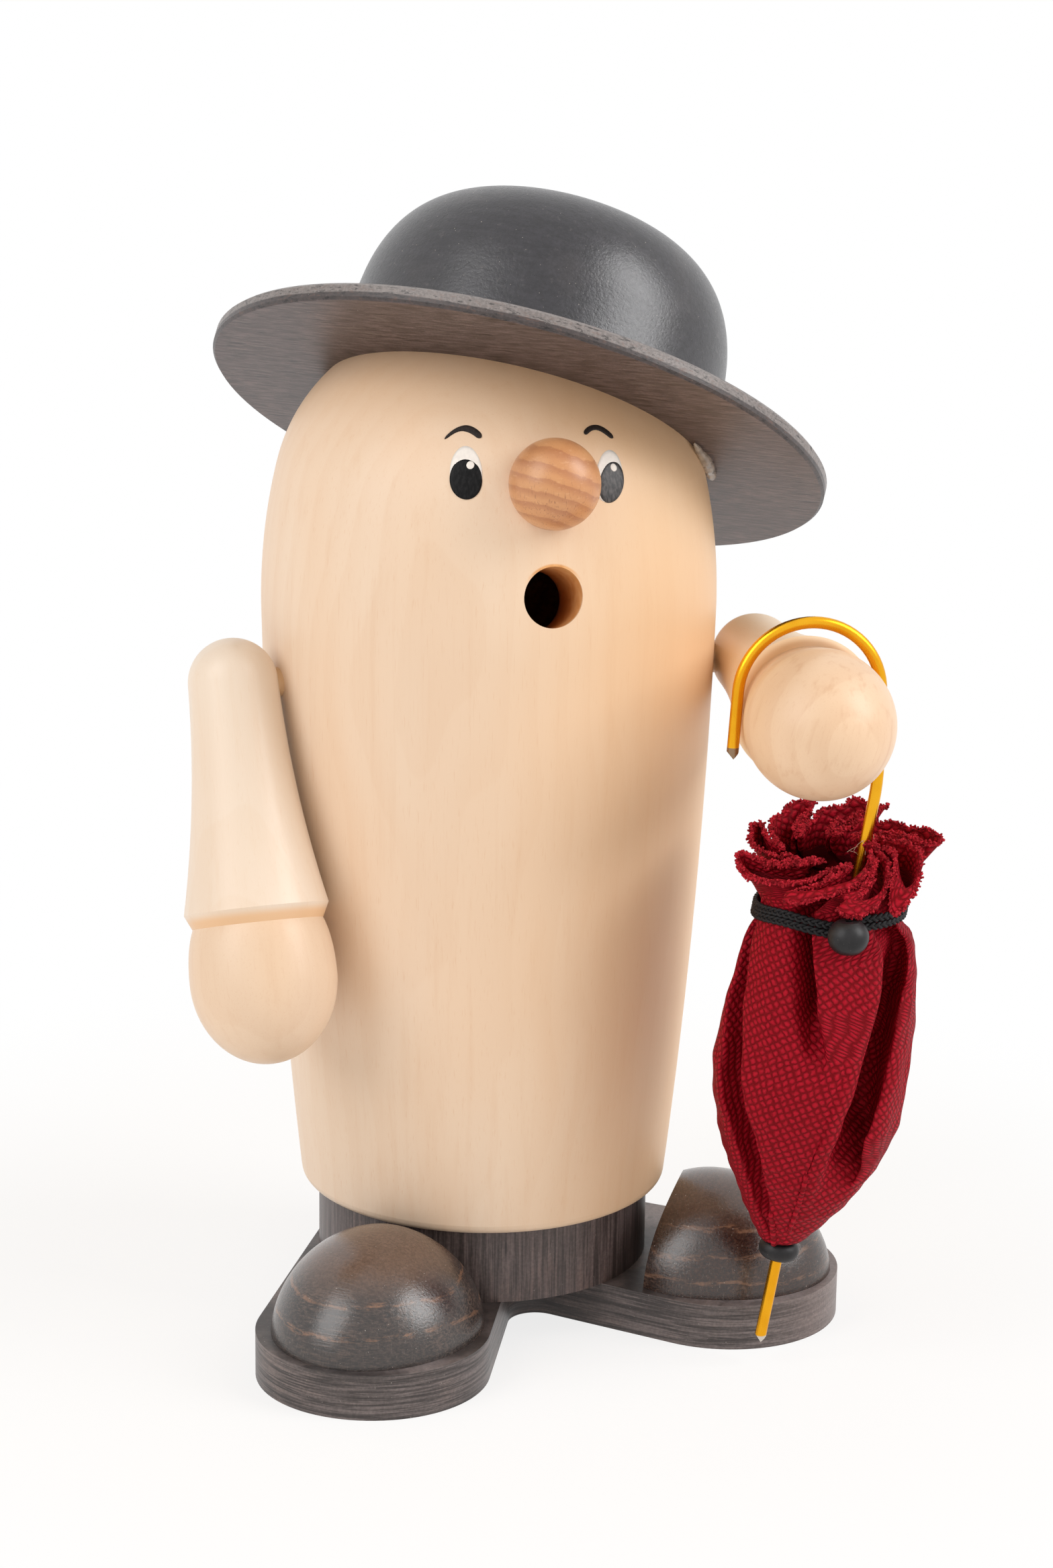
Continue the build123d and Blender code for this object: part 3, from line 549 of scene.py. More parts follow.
def tube(path, radii, sides):
    """Points and faces of a closed tube along a path, with its own radius at each point."""
    verts, faces = [], []
    for i, here in enumerate(path):
        way = (path[min(i + 1, len(path) - 1)] - path[max(i - 1, 0)]).normalized()
        side = way.cross(NOT_ALONG).normalized()
        top = side.cross(way)
        for j in range(sides):
            b = 2 * math.pi * j / sides
            verts.append(here + (side * math.cos(b) + top * math.sin(b)) * radii[i])
    for i in range(len(path) - 1):
        for j in range(sides):
            k, n = i * sides + j, i * sides + (j + 1) % sides
            faces.append((k, n, n + sides, k + sides))
    faces.append(tuple(reversed(range(sides))))
    last = (len(path) - 1) * sides
    faces.append(tuple(last + j for j in range(sides)))
    return verts, faces


def keep_on_body(piece):
    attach(piece, "figure")


# Paint of the face, laid on the barrel's skin
def skin_tree():
    build = bmesh.new()
    build.from_mesh(nodes["body_shell"].data)
    tree = BVHTree.FromBMesh(build)
    build.free()
    return tree


body_skin = skin_tree()
SKIN_MM_PER_DEGREE = 30.0 * math.pi / 180
OUTSIDE = 60                # distance from the axis that is clear of the barrel
TUCK = -0.05                # rim of a paint film, under the skin
WHITE_LIFT = 0.12
PUPIL_LIFT = 0.2
LIGHT_LIFT = 0.27
BROW_LIFT = 0.16
STROKE_ROUND = 0.09         # shares of a stroke's length: round end, and swell to its full width
STROKE_SWELL = 0.55
STROKE_WOBBLE = 0.06


def skin_point(azimuth, height, lift):
    """Point on the barrel by its angle from the face's middle and its height, lifted off the skin."""
    a = math.radians(azimuth)
    out = Vector((math.sin(a), -math.cos(a), 0))
    start = out * OUTSIDE * MM + Vector((0, 0, height * MM))
    spot, normal, _, _ = body_skin.ray_cast(start, -out)
    if normal.dot(out) < 0:
        normal = -normal
    return (spot + normal * lift * MM) / MM


def paint_spot(name, centre, half, lean, lift, material, rings=7, spokes=48):
    """An oval of paint on the skin; lean is how far its top is turned round the barrel."""
    verts = [skin_point(*centre, lift)]
    for ring in range(1, rings + 2):
        share = min(ring, rings) / rings
        for spoke in range(spokes):
            a = 2 * math.pi * spoke / spokes
            up = math.sin(a) * share
            side = math.cos(a) * share
            rise = lift * math.sqrt(max(0.0, 1 - 0.75 * share ** 4)) if ring <= rings else TUCK
            verts.append(skin_point(centre[0] + half[0] * side + lean * up, centre[1] + half[1] * up, rise))
    faces = [(0, 1 + s, 1 + (s + 1) % spokes) for s in range(spokes)]
    for ring in range(rings):
        a, b = 1 + ring * spokes, 1 + (ring + 1) * spokes
        faces += [(a + s, b + s, b + (s + 1) % spokes, a + (s + 1) % spokes) for s in range(spokes)]
    piece = make_piece(name, verts, faces, material)
    keep_on_body(piece)


def paint_stroke(name, stops, wide, point, lift, material, steps=48, across=8):
    """A brush stroke through three places on the skin; point is the thin share of its first end."""
    verts, faces = [], []
    (a0, z0), (a1, z1), (a2, z2) = stops
    # the middle stop lies on the curve, so the control place is pushed past it
    ca, cz = 2 * a1 - (a0 + a2) / 2, 2 * z1 - (z0 + z2) / 2
    for i in range(steps + 1):
        t = i / steps
        az = (1 - t) ** 2 * a0 + 2 * t * (1 - t) * ca + t * t * a2
        z = (1 - t) ** 2 * z0 + 2 * t * (1 - t) * cz + t * t * z2
        da = 2 * (1 - t) * (ca - a0) + 2 * t * (a2 - ca)
        dz = 2 * (1 - t) * (cz - z0) + 2 * t * (z2 - cz)
        size = math.hypot(da * SKIN_MM_PER_DEGREE, dz)
        na, nz = -dz / size / SKIN_MM_PER_DEGREE, da * SKIN_MM_PER_DEGREE / size
        to_end = min(t, 1 - t) / STROKE_ROUND
        cap = math.sqrt(max(0.02, 1 - (1 - min(1.0, to_end)) ** 2))
        swell = min(1.0, point + (1 - point) * t / STROKE_SWELL)
        w = wide / 2 * cap * swell * (1 + STROKE_WOBBLE * math.sin(9 * t + 1))
        for j in range(across + 1):
            s = 2 * j / across - 1
            rise = lift * (1 - 0.8 * s ** 4) if abs(s) < 1 else TUCK
            verts.append(skin_point(az + na * w * s, z + nz * w * s, rise))
    row = across + 1
    for i in range(steps):
        for j in range(across):
            k = i * row + j
            faces.append((k, k + row, k + row + 1, k + 1))
    piece = make_piece(name, verts, faces, material)
    tidy_normals(piece)
    keep_on_body(piece)


white_paint = enamel("white_eye_enamel", srgb(250, 249, 247), srgb(238, 237, 236), 0.34, 0.35)
right_pupil_paint = enamel("black_eye_enamel", srgb(9, 9, 10), srgb(38, 38, 40), 0.36, 0.16)
# grey over the black of this pupil: painted reflection of the lamp
left_pupil_paint_with_painted_sheen = enamel("black_eye_enamel_with_painted_sheen", srgb(40, 40, 42), srgb(112, 110, 112), 0.3, 0.4)
brow_paint = enamel("dark_brow_enamel", srgb(26, 20, 18), srgb(58, 46, 40), 0.42, 0.25)
paint_spot("eye_white_right", (-22.25, 155.05), (4.35, 3.95), -0.5, WHITE_LIFT, white_paint)
paint_spot("eye_pupil_right", (-22.2, 154.0), (4.3, 3.15), -0.3, PUPIL_LIFT, right_pupil_paint)
paint_spot("eye_light_right", (-21.2, 156.1), (1.15, 0.66), 0.0, LIGHT_LIFT, white_paint, 4, 24)
paint_spot("eye_white_left", (17.4, 153.75), (4.3, 3.95), 1.8, WHITE_LIFT, white_paint)
paint_spot("eye_pupil_left", (17.8, 152.8), (4.0, 3.2), 1.4, PUPIL_LIFT, left_pupil_paint_with_painted_sheen)
paint_spot("eye_light_left", (19.2, 154.95), (1.1, 0.66), 0.0, LIGHT_LIFT, white_paint, 4, 24)
paint_stroke("brow_right", ((-29.1, 159.9), (-23.9, 161.6), (-18.5, 160.3)), 1.05, 0.35, BROW_LIFT,
             brow_paint)
paint_stroke("brow_left", ((12.6, 160.4), (17.5, 161.2), (21.9, 159.4)), 0.95, 0.75, BROW_LIFT,
             brow_paint)


# Glue that was squeezed out under the brim
GLUE_START = Vector((30.2, -19.2, 155.9))
GLUE_END = Vector((37.9, -7.0, 147.3))
GLUE_BOW = Vector((0.3, -0.5, -0.1))
GLUE_R = 0.85
GLUE_LUMPS = 0.35
GLUE_GROWTH = 0.45
GLUE_STEPS = 40
GLUE_SIDES = 14


def glue_bead(material):
    path, radii = [], []
    for i in range(GLUE_STEPS + 1):
        t = i / GLUE_STEPS
        radius = GLUE_R + GLUE_LUMPS * noise.noise(Vector((t * 6, 3, 1))) + GLUE_GROWTH * t
        path.append(GLUE_START.lerp(GLUE_END, t) + GLUE_BOW * math.sin(math.pi * t))
        radii.append(radius * math.sqrt(math.sin(math.pi * (0.01 + 0.98 * t))))
    piece = make_piece("glue_bead", *tube(path, radii, GLUE_SIDES), material)
    tidy_normals(piece)
    keep_on_body(piece)


glue_bead(clear_glue())


# Umbrella cloth: the rod leans, the cloth's sections stay level
GRIP_X = Vector((0.99189, -0.12707, 0.0))
GRIP_Y = Vector((0.12707, 0.99189, 0.0))
ROD_TOP = Vector((52.74, -49.788, 100.051))
LEAN = math.radians(9.8)
FRONT = -104.0              # direction of the umbrella's front, from GRIP_X
NECK_AT = 18.1
NECK_SHIFT = -3.7
COIL_R = 12.4
CLOTH_END = 78.0


def by_rod(at, out, aside, rise=0.0):
    """Point by its place along the rod, in a level section across it."""
    return (ROD_TOP + GRIP_X * (out / math.cos(LEAN) - at * math.sin(LEAN)) + GRIP_Y * aside
            + Vector((0, 0, rise - at * math.cos(LEAN))))


def between(x, table):
    """Value at x in a table of (place, value) rows, half smooth and half straight between them."""
    if x <= table[0][0]:
        return table[0][1]
    for (x0, y0), (x1, y1) in zip(table, table[1:]):
        if x <= x1:
            t = (x - x0) / (x1 - x0)
            t = t * t * (3 - 2 * t) * 0.5 + t * 0.5
            return y0 + (y1 - y0) * t
    return table[-1][1]


# radius of the closed sections and their shift along the lean, against the place along the rod
OUTLINE = ((15.6, 12.2), (16.4, 11.8), (19.9, 11.8), (20.8, 12.3), (22.5, 13.5), (25, 14.3), (30, 15.1),
           (35, 15.7), (40, 16.2), (45, 16.6), (50, 16.3), (56, 15.3), (60, 14.1), (63.5, 12.9),
           (67, 11.1), (70.4, 9.2), (74, 6.7), (77, 4.5), (78, 3.6))
SHIFT = ((6.5, -4.2), (15.6, -3.7), (19.9, -3.6), (22.5, -2.6), (25, -2.3), (30, -1.9), (40, -1.6),
         (45, -1.5), (50, -0.9), (56, 0.3), (60, 0.7), (63.5, 1.0), (67, 1.0), (70.4, 0.8),
         (74, 0.6), (78, 0.2))
# folds in order round the cloth: kind, then angle from the front and depth against the place
FOLDS = (
    ("lap", ((8, -84), (18, -80), (30, -60), (45, -42), (62, -28), (78, -18)),
     ((15, 2.8), (20, 2.8), (24, 4.4), (32, 6.4), (42, 7.6), (52, 7.2), (60, 5.6), (67, 3.6),
      (73, 1.5), (78, 0.1))),
    ("pleat", ((15, -16), (21, -14), (30, -6), (40, 4), (50, 0), (62, -6), (78, -6)),
     ((15, 3.2), (20, 4.2), (24, 6.5), (32, 6.0), (37, 3.2), (41, 0.6), (45, 0))),
    ("pocket", ((15, 40), (18, 42), (28, 41), (45, 32), (52, 25), (58, 17), (64, 12), (71, 12), (78, 16)),
     ((15, 2.3), (20, 2.5), (26, 4.5), (34, 8.2), (44, 10.4), (52, 8.6), (58, 5.2), (62, 2.4),
      (66, 0.6), (70, 0))),
    ("back_lap", ((15, 95), (20, 98), (45, 103), (78, 100)),
     ((15, 2.8), (30, 4.2), (45, 5.4), (60, 3.4), (72, 0.6), (78, 0))),
    ("pocket", ((15, 150), (45, 150), (78, 152)),
     ((15, 2.8), (26, 4.6), (42, 6.8), (58, 3.8), (70, 0.5), (78, 0))),
    ("lap", ((15, 229), (20, 230), (45, 236), (78, 240)),
     ((15, 2.8), (28, 4.0), (45, 5.0), (60, 3.0), (72, 0.5), (78, 0))),
)
# shapes of the folds: degrees when shallow, degrees when deep, share of the depth
FULL_FOLD = 6.5
FOLD_SHAPES = {
    "pocket": ((-12, -4, 0, 3, 14, 22, 27, 33, 39, 46),
               (-12, -4, 0, 4, 45, 64, 50, 27, 15, 29),
               (0.05, 0.04, -0.15, -0.75, -1.05, -0.8, -0.5, -0.22, -0.02, 0.05)),
    "pleat": ((-18, -13, -10, -7, -2, 2.5, 3, 4, 5, 8),
              (-18, -13, -10.5, -8, -2, 2.5, 1.5, 0.5, 2, 8),
              (0.03, -0.08, -0.6, -1.1, -1.35, -1.1, -0.5, -0.02, 0.12, 0.06)),
    "lap": ((-32, -26, -22, -18, -14, -10, -6, -4, -2.5, -1.5),
            (-32, -24, -20.5, -25, -28, -24, -10, -2, -1, -1.5),
            (0.0, 0.03, -0.02, -0.3, -0.62, -0.98, -1.05, -0.68, -0.3, 0.06)),
    "back_lap": ((1.5, 2.5, 4, 6, 10, 14, 18, 22, 26, 32),
                 (1.5, 1, 2, 10, 24, 28, 25, 20.5, 24, 32),
                 (0.06, -0.3, -0.68, -1.05, -0.98, -0.62, -0.3, -0.02, 0.03, 0.0)),
}
LOBE_POINTS = 3
LOBE_UNEVEN = 0.015         # share by which the places between folds differ from the outline
SPANS_PER_POINT = 5
FRONT_POINT = 14            # control place where the flat cut's zero lies
NECK_ROWS = 80
RUFFLE_ROWS = 28
RUFFLE_FROM = 15.6
RUFFLE_TALL = 8.6
NECK_REACH = 6.0            # how far from the tie its small pleats reach
FOOT_REACH = 14             # how far from the ferrule the cloth is stretched smooth
SLOW_WAVE = 0.5
CREASE = 0.25
NECK_PLEATS = 0.45
CRUMPLE = 0.7
CRUMPLE_RISE = 1.1
ROD_CLEAR = 1.7             # least radius, just clear of the rod
CLOTH_WALL = 0.4
# folds of the ruffle's hem, from the left round the front: degrees taken, inner and outer radius
HEM_START = -98
HEM_FOLDS = ((8, 6, 13.0), (50, 5, 17.0), (30, 5, 16.2), (6, 5.5, 14.0), (32, 4.5, 16.6), (46, 2, 17.2),
             (7, 1, 13.5), (46, 0, 16.4), (7, 1, 13.0), (44, 2, 15.6), (7, 6, 13.0), (44, 7, 16.0),
             (33, 8.5, 15.8))
HEM_TWIRL = 130
HEM_R = 16.0
FULL_RISE_R = 15.5          # radius at which the hem has its full rise
MOST_RISE = 1.15
# rise of the hem's outermost edge against its angle from the front
HEM_RISE = ((-180, 3.5), (-130, 1.4), (-90, -1.4), (-60, -4.2), (-28, -5.6), (-6, -5.6), (14, -7.2),
            (32, -6.6), (46, -4.0), (66, -0.8), (90, 0.2), (120, 1.0), (150, 2.5), (180, 3.5))
# one fold of the hem: share of its degrees, a bulge to the side and share of the way outward
HEM_SHAPE = ((0.0, 0, 0.0), (0.08, 0, 0.6), (0.2, -0.07, 0.98), (0.5, 0, 1.04), (0.8, 0.07, 0.98),
             (0.92, 0, 0.6))


def hem_controls():
    """Control places of the hem: angle from the front and radius. The folds lie over like a rose."""
    controls = []
    start = HEM_START
    for taken, inner, outer in HEM_FOLDS:
        for share, bulge, way in HEM_SHAPE:
            radius = inner + (outer - inner) * way
            twirl = HEM_TWIRL * (1 - radius / HEM_R)
            controls.append((start + taken * (share + bulge) + twirl, radius))
        start += taken
    return controls


def fold_controls(kind, angle, radius, depth):
    """Ten control places across one fold, as angle and radius. A shallow fold does not turn back."""
    shallow, deep, shares = FOLD_SHAPES[kind]
    full = min(1.0, depth / FULL_FOLD)
    return [(angle + a + (b - a) * full, radius + share * depth)
            for a, b, share in zip(shallow, deep, shares)]


def section_controls(at):
    """Control places of one closed section: angle from the front and radius."""
    outline = between(at, OUTLINE)
    folds = [fold_controls(kind, between(at, angle), outline, between(at, depth))
             for kind, angle, depth in FOLDS]
    controls = []
    for k, fold in enumerate(folds):
        controls += fold
        start = fold[-1][0]
        end = folds[(k + 1) % len(folds)][0][0] + (360 if k + 1 == len(folds) else 0)
        gap = (end - start) / (LOBE_POINTS + 1)
        for j in range(LOBE_POINTS):
            swell = 1 + math.radians(max(gap, 0)) ** 2 / 6 + LOBE_UNEVEN * math.sin(k * 2.1 + j)
            controls.append((start + gap * (j + 1), outline * swell))
    return controls


def spline_loop(points, steps):
    """Closed uniform cubic B-spline of its control points."""
    count = len(points)
    for i in range(count):
        four = [points[(i + d) % count] for d in (-1, 0, 1, 2)]
        for s in range(steps):
            t = s / steps
            weights = ((1 - t) ** 3 / 6, (3 * t ** 3 - 6 * t * t + 4) / 6,
                       (-3 * t ** 3 + 3 * t * t + 3 * t + 1) / 6, t ** 3 / 6)
            yield [sum(w * p[axis] for w, p in zip(weights, four)) for axis in (0, 1)]


def from_front(a):
    """Degrees from the umbrella's front, between -180 and 180."""
    return (math.degrees(a) - FRONT + 180) % 360 - 180


def ruffle_rise(a, r, ruffle):
    """How far a place of the frill stands above its row: low in front, high behind."""
    return between(from_front(a), HEM_RISE) * ruffle ** 2 * min(MOST_RISE, r / FULL_RISE_R) ** 1.6


def canopy_rows():
    """Rows of points from the ferrule up to the tie, then out into the ruffle's hem."""
    rows = []
    hem = hem_controls()
    for i in range(NECK_ROWS + RUFFLE_ROWS):
        ruffle = max(0.0, (i - NECK_ROWS + 1) / RUFFLE_ROWS)
        at = CLOTH_END - (CLOTH_END - RUFFLE_FROM) * min(1.0, i / (NECK_ROWS - 1)) - ruffle * RUFFLE_TALL
        open_out = ruffle ** 0.8
        flat = []
        for (angle, radius), (hem_angle, hem_radius) in zip(section_controls(max(at, RUFFLE_FROM)), hem):
            a = math.radians(angle + (hem_angle - angle) * open_out + FRONT)
            r = radius + (hem_radius - radius) * open_out
            flat.append((r * math.cos(a), r * math.sin(a)))
        shift = between(at, SHIFT)
        near_neck = math.exp(-((at - NECK_AT) / NECK_REACH) ** 2)
        below = min(1.0, (CLOTH_END - at) / FOOT_REACH) * (1 - near_neck) * (1 - ruffle)
        row = []
        for x, y in spline_loop(flat, SPANS_PER_POINT):
            a, r = math.atan2(y, x), math.hypot(x, y)
            slow = noise.noise(Vector((x * 0.16, y * 0.16, at * 0.07)))
            crease = noise.noise(Vector((x * 0.4 + at * 0.1, y * 0.4, at * 0.22)))
            pleats = noise.noise(Vector((math.cos(a) * 7, math.sin(a) * 7, at * 0.05 + 9)))
            crumple = noise.noise(Vector((x * 0.5, y * 0.5, 4.0 + ruffle)))
            r += (slow * SLOW_WAVE + crease * CREASE) * below
            r += pleats * NECK_PLEATS * near_neck * (1 - ruffle)
            r = max(r + crumple * CRUMPLE * ruffle ** 2, ROD_CLEAR)
            rise = ruffle_rise(a, r, ruffle) + crumple * CRUMPLE_RISE * ruffle ** 2
            row.append(by_rod(at, shift + r * math.cos(a), r * math.sin(a), rise))
        rows.append(row)
    return rows


def lay_flat(piece, rows):
    """Flat coordinates of the cut: length round each row and length up from the ferrule."""
    count = len(rows[0])
    front = FRONT_POINT * SPANS_PER_POINT
    up = [0.0] * count
    flat = []
    for i, row in enumerate(rows):
        if i:
            up = [u + (row[k] - rows[i - 1][k]).length for k, u in enumerate(up)]
        around = [0.0]
        measured = rows[min(i, NECK_ROWS + RUFFLE_ROWS // 2)]
        for k in range(count):
            around.append(around[-1] + (measured[(k + 1) % count] - measured[k]).length)
        mean = sum(up) / count
        flat.append([((a - around[front]) * MM, (mean + up[k % count]) / 2 * MM)
                     for k, a in enumerate(around)])
    layer = piece.data.uv_layers.new(name="cut")
    loop = 0
    for i in range(len(rows) - 1):
        for k in range(count):
            for r, c in ((i, k), (i, k + 1), (i + 1, k + 1), (i + 1, k)):
                layer.data[loop].uv = flat[r][c]
                loop += 1


def make_cloth(material):
    rows = canopy_rows()
    count = len(rows[0])
    faces = []
    for i in range(len(rows) - 1):
        for k in range(count):
            n = (k + 1) % count
            faces.append((i * count + k, i * count + n, (i + 1) * count + n, (i + 1) * count + k))
    piece = make_piece("umbrella_cloth", [p for row in rows for p in row], faces, material)
    lay_flat(piece, rows)
    area = sum(p.area for p in piece.data.polygons)
    wall = piece.modifiers.new("cloth_thickness", "SOLIDIFY")
    wall.thickness = CLOTH_WALL * MM
    wall.offset = -1.0
    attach(piece, "umbrella")
    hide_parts("umbrella_canopy")
    return piece, rows, area


cloth, cloth_rows, cloth_area = make_cloth(red_weave())


# Repeated small work by geometry nodes
class Repeater:
    """A geometry node tree with named inputs."""

    def __init__(self, name, inputs):
        self.tree = bpy.data.node_groups.new(name, "GeometryNodeTree")
        self.tree.interface.new_socket("Geometry", in_out="INPUT", socket_type="NodeSocketGeometry")
        for label, kind in inputs:
            self.tree.interface.new_socket(label, in_out="INPUT", socket_type=kind)
        self.tree.interface.new_socket("Geometry", in_out="OUTPUT", socket_type="NodeSocketGeometry")
        self.start = self.tree.nodes.new("NodeGroupInput")
        self.end = self.tree.nodes.new("NodeGroupOutput")

    def node(self, kind, settings=None, sockets=None, out=0):
        return add_node(self.tree, kind, settings, sockets).outputs[out]

    def close(self, geometry, material):
        real = self.node("GeometryNodeRealizeInstances", sockets={0: geometry})
        dressed = self.node("GeometryNodeSetMaterial", sockets={0: real, "Material": material})
        self.tree.links.new(dressed, self.end.inputs[0])

    def make(self, name, carrier, values, material):
        """Runs the tree on a carrier mesh and keeps the result as a plain mesh."""
        holder = bpy.data.objects.new(name + "_carrier", carrier)
        bpy.context.scene.collection.objects.link(holder)
        modifier = holder.modifiers.new("repeat", "NODES")
        modifier.node_group = self.tree
        for item in self.tree.interface.items_tree:
            if item.in_out == "INPUT" and item.name in values:
                modifier[item.identifier] = values[item.name]
        bpy.context.view_layer.update()
        mesh = bpy.data.meshes.new_from_object(holder.evaluated_get(bpy.context.evaluated_depsgraph_get()))
        mesh.name = name
        bpy.data.objects.remove(holder)
        if not mesh.materials:
            mesh.materials.append(material)
        piece = bpy.data.objects.new(name, mesh)
        bpy.context.scene.collection.objects.link(piece)
        return piece


def loose_ends(name, line, ways, material, radius, count, length, stray, seed):
    """Short bowed yarn ends of the umbrella, scattered along a line, each leaning its own way."""
    last = len(line) - 1
    carrier = bpy.data.meshes.new(name + "_line")
    carrier.from_pydata([p * MM for p in line], [(k, k + 1) for k in range(last)], [])
    way_store = carrier.attributes.new("fray_way", "FLOAT_VECTOR", "POINT")
    for k, way in enumerate(ways):
        way_store.data[k].vector = way
    r = Repeater(name + "_tree", [("Yarn radius", "NodeSocketFloat"), ("Yarn length", "NodeSocketFloat"),
                                  ("Yarn count", "NodeSocketInt"), ("Seed", "NodeSocketInt")])
    path = r.node("GeometryNodeMeshToCurve", sockets={0: r.start.outputs[0]})
    spots = r.node("GeometryNodeResampleCurve", sockets={0: path, "Count": r.start.outputs["Yarn count"]})
    bow = r.node("GeometryNodeCurveQuadraticBezier", sockets={
        "Resolution": 4, "Start": (0, 0, -0.4), "Middle": (0.14, 0.05, 0.1), "End": (-0.12, 0.12, 0.6)})
    bow = r.node("GeometryNodeTransform", sockets={
        0: bow, "Scale": r.node("ShaderNodeCombineXYZ", sockets={
            0: r.start.outputs["Yarn length"], 1: r.start.outputs["Yarn length"],
            2: r.start.outputs["Yarn length"]})})
    ring = r.node("GeometryNodeCurvePrimitiveCircle", sockets={
        "Resolution": 5, "Radius": r.start.outputs["Yarn radius"]})
    yarn = r.node("GeometryNodeCurveToMesh", sockets={
        "Curve": bow, "Profile Curve": ring, "Fill Caps": True})
    way = r.node("GeometryNodeInputNamedAttribute", {"data_type": "FLOAT_VECTOR"}, {"Name": "fray_way"})
    lean = r.node("FunctionNodeRandomValue", {"data_type": "FLOAT_VECTOR"}, {
        0: (-stray, -stray, -stray), 1: (stray, stray, stray), "Seed": r.start.outputs["Seed"]})
    aim = r.node("ShaderNodeVectorMath", {"operation": "ADD"}, {0: way, 1: lean})
    turn = r.node("FunctionNodeAlignRotationToVector", {"axis": "Z"}, {"Vector": aim})
    size = r.node("FunctionNodeRandomValue", {"data_type": "FLOAT"}, {
        2: 0.5, 3: 1.3, "Seed": r.start.outputs["Seed"]}, out=1)
    ends = r.node("GeometryNodeInstanceOnPoints", sockets={
        "Points": spots, "Instance": yarn, "Rotation": turn, "Scale": size})
    r.close(ends, material)
    values = {"Yarn radius": radius * MM, "Yarn length": length * MM, "Yarn count": count, "Seed": seed}
    piece = r.make(name, carrier, values, material)
    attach(piece, "umbrella")
    return piece


def frayed_hem(rows):
    edge, below = rows[-1], rows[-3]
    ways = [(e - b).normalized() for e, b in zip(edge, below)]
    return loose_ends("umbrella_frayed_hem", edge, ways, frayed_yarn(),
                      radius=0.17, count=4600, length=1.0, stray=1.6, seed=11)


LINT_AT = 9.5
LINT_STEP = 0.12
LINT_R = 1.4
LINT_TURNS = 3
LINT_SPOTS = 24
LINT_RISE = 0.6


def rod_lint():
    """A few pale loose fibres where the rod comes out of the frill."""
    line, ways = [], []
    for k in range(LINT_SPOTS):
        a = 2 * math.pi * k / LINT_SPOTS * LINT_TURNS
        line.append(by_rod(LINT_AT - k * LINT_STEP, LINT_R * math.cos(a), LINT_R * math.sin(a)))
        ways.append(Vector((math.cos(a), math.sin(a), LINT_RISE)))
    return loose_ends("umbrella_lint", line, ways, pale_lint(),
                      radius=0.05, count=11, length=2.6, stray=1.0, seed=5)


hem = frayed_hem(cloth_rows)
lint = rod_lint()


TIE_TURNS = 2
TIE_PITCH = 1.4
TIE_START = math.radians(-92.6)
STRANDS = 3
STRAND_R = 0.3
STRAND_LAY = 3.6            # length in which a strand crosses the braid and comes back
STRAND_STEPS = 620
STRAND_SIDES = 8
BRAID_HALF_WIDE = 0.46
BRAID_HALF_THICK = 0.17
PULL = 1.2                  # the winding is pulled up at its front left
PULL_ASIDE = math.radians(-35)
PULL_REACH = 34


def tie_cord(material):
    """Flat braid wound round the cloth's neck."""
    length = 2 * math.pi * COIL_R * TIE_TURNS
    verts, faces = [], []
    for s in range(STRANDS):
        path = []
        for i in range(STRAND_STEPS + 1):
            t = i / STRAND_STEPS
            a = TIE_START + 2 * math.pi * TIE_TURNS * t
            weave = 2 * math.pi * (t * length / STRAND_LAY + s / STRANDS)
            out = COIL_R + BRAID_HALF_THICK * math.sin(2 * weave)
            at = NECK_AT + TIE_PITCH * TIE_TURNS * (t - 0.5) + BRAID_HALF_WIDE * math.sin(weave)
            pulled_up = PULL * math.exp(-(from_front(a - PULL_ASIDE) / PULL_REACH) ** 2)
            path.append(by_rod(at - pulled_up, NECK_SHIFT + out * math.cos(a), out * math.sin(a)))
        strand_verts, strand_faces = tube(path, [STRAND_R] * len(path), STRAND_SIDES)
        base = len(verts)
        verts += strand_verts
        faces += [tuple(base + v for v in face) for face in strand_faces]
    piece = make_piece("umbrella_tie", verts, faces, material)
    tidy_normals(piece)
    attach(piece, "umbrella")
    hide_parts("umbrella_tie_cord")


tie_cord(black_cord())


# Stage: camera, floor and light
PHOTO_TALL = 2335           # pixels
FOCAL = 5625                # pixels, from the fit of the figure's sizes to the photograph
SENSOR = 36
EYE_AT = Vector((-173.86, -614.22, 267.0))
EYE_RIGHT = Vector((0.9601, -0.2793, 0.0132))
EYE_UP = Vector((0.0611, 0.2555, 0.9649))
EYE_BACK = Vector((-0.2729, -0.9256, 0.2624))


def aim_camera():
    data = bpy.data.cameras.new("photo_camera")
    data.lens = FOCAL / PHOTO_TALL * SENSOR
    data.sensor_width = SENSOR
    data.clip_start, data.clip_end = 0.01, 50
    eye = bpy.data.objects.new("photo_camera", data)
    turn = Matrix((EYE_RIGHT, EYE_UP, EYE_BACK)).transposed().to_4x4()
    eye.matrix_world = Matrix.Translation(EYE_AT * MM) @ turn
    bpy.context.scene.collection.objects.link(eye)
    bpy.context.scene.camera = eye


def seen_directly(f):
    """1 for camera, glossy and transmission rays."""
    camera = f.node("ShaderNodeLightPath", out="Is Camera Ray")
    rays = camera.socket.node.outputs
    glossy, through = Value(f, rays["Is Glossy Ray"]), Value(f, rays["Is Transmission Ray"])
    return f.math("MINIMUM", camera + glossy + through, 1.0)


WHITE = (1, 1, 1, 1)
CARD = (0.95, 0.95, 0.95, 1)
CARD_SEEN = 0.2             # share of the card, with its shadow, that shows near the figure
SHADOW_FROM = 70.0
SHADOW_TO = 190.0
FLOOR_HALF = 8000


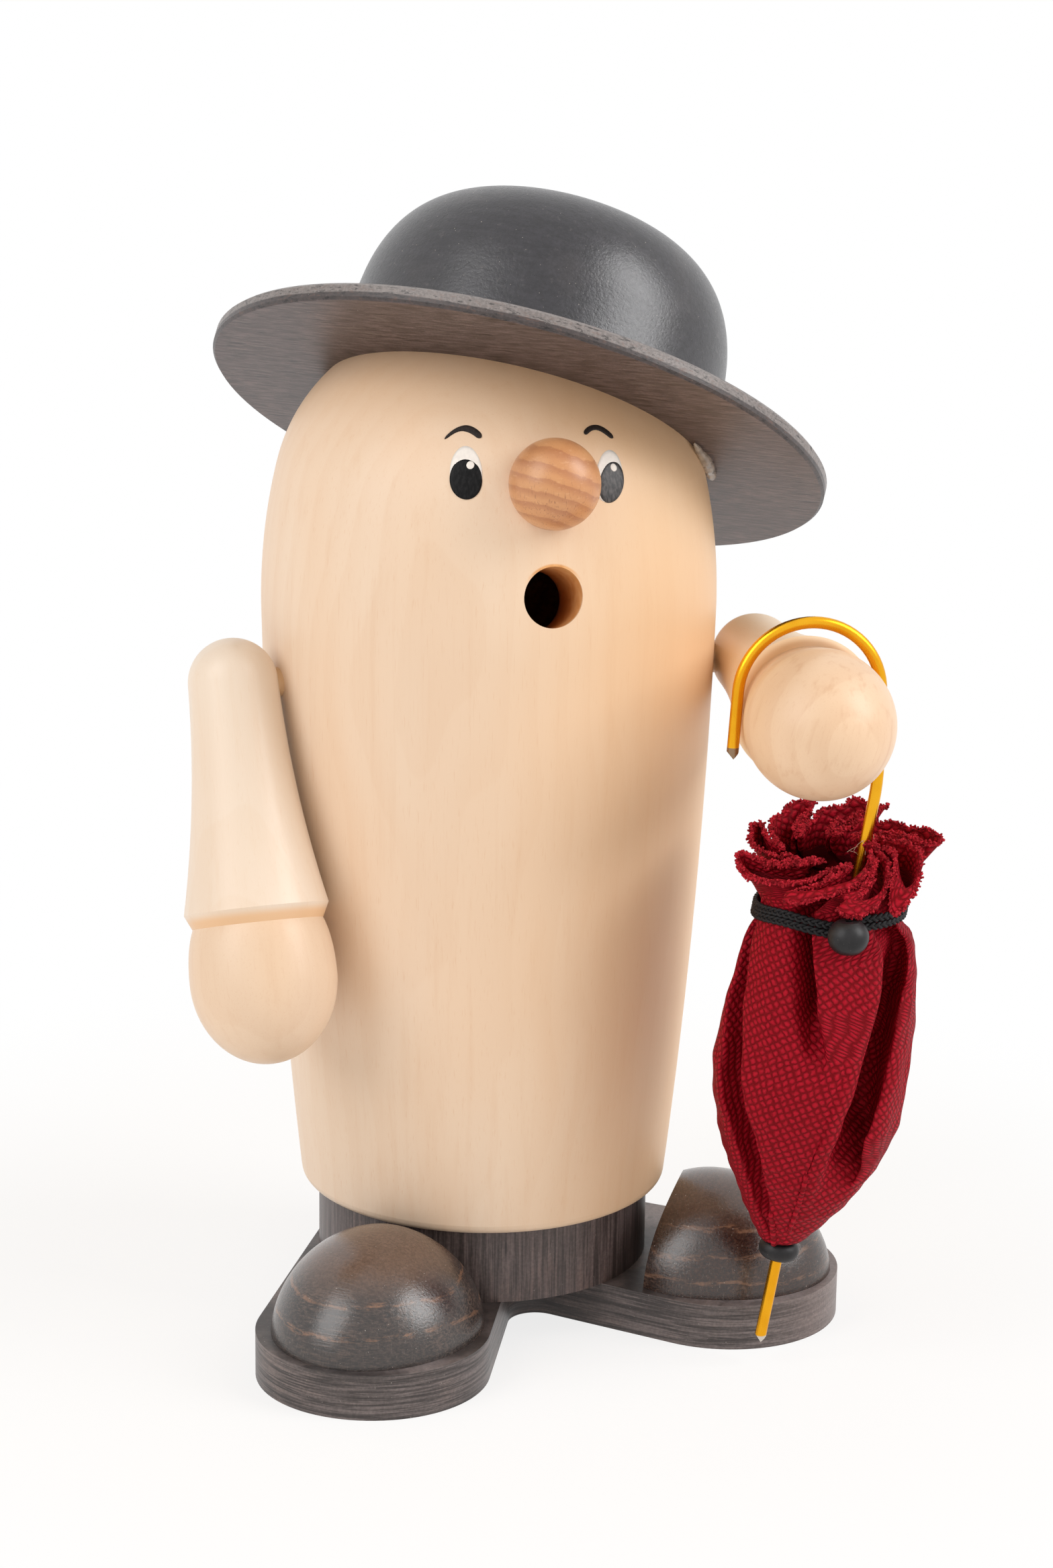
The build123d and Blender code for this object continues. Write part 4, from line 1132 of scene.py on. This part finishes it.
def white_floor():
    """White card that carries the shadow near the figure and fades into plain white."""
    f = Finish("white_floor")
    x, y, _ = f.parts(f.place())
    far = f.step(f.length(x, y), SHADOW_FROM, SHADOW_TO)
    card = f.node("ShaderNodeBsdfDiffuse", sockets={"Color": CARD})
    glow = f.node("ShaderNodeEmission", sockets={"Color": WHITE, "Strength": 1.0})
    share = (far * CARD_SEEN + (1 - CARD_SEEN)) * seen_directly(f)
    f.output(f.node("ShaderNodeMixShader", sockets={0: share, 1: card, 2: glow}))
    corners = [(sx * FLOOR_HALF, sy * FLOOR_HALF, 0) for sx, sy in ((-1, -1), (1, -1), (1, 1), (-1, 1))]
    floor = make_piece("floor", corners, [(0, 1, 2, 3)], f.material, smooth=False)


LAMP_TARGET = Vector((0, 0, 0.1))
LAMP_AWAY = 1.6
ROOM_LEVEL = 0.54
ROOM_TINT = (1.0, 0.83, 0.66, 1)


def soft_box(name, way, size, watts):
    """A lamp on a stand, aimed at the figure's middle."""
    data = bpy.data.lights.new(name, "AREA")
    data.shape = "RECTANGLE"
    data.size, data.size_y = size
    data.energy = watts
    lamp = bpy.data.objects.new(name, data)
    lamp.location = LAMP_TARGET + Vector(way).normalized() * LAMP_AWAY
    lamp.rotation_euler = (-Vector(way)).to_track_quat("-Z", "Y").to_euler()
    bpy.context.scene.collection.objects.link(lamp)


def light_room():
    world = bpy.data.worlds.new("white_room")
    bpy.context.scene.world = world
    world.use_nodes = True
    f = Finish("world_helper")
    f.tree = world.node_tree
    f.tree.nodes.clear()
    direct = seen_directly(f)
    level = direct * (1 - ROOM_LEVEL) + ROOM_LEVEL
    sky = f.node("ShaderNodeBackground", sockets={
        "Color": f.mix(direct, ROOM_TINT, WHITE), "Strength": level})
    end = f.tree.nodes.new("ShaderNodeOutputWorld")
    f.tree.links.new(sky.socket, end.inputs["Surface"])
    bpy.data.materials.remove(f.material)
    soft_box("left_box", (-0.77, -0.28, 0.59), (0.95, 1.3), 10.6)
    soft_box("right_box", (0.71, -0.4, 0.58), (0.8, 1.05), 14.5)


aim_camera()
white_floor()
light_room()
bpy.context.scene.view_settings.view_transform = "Standard"
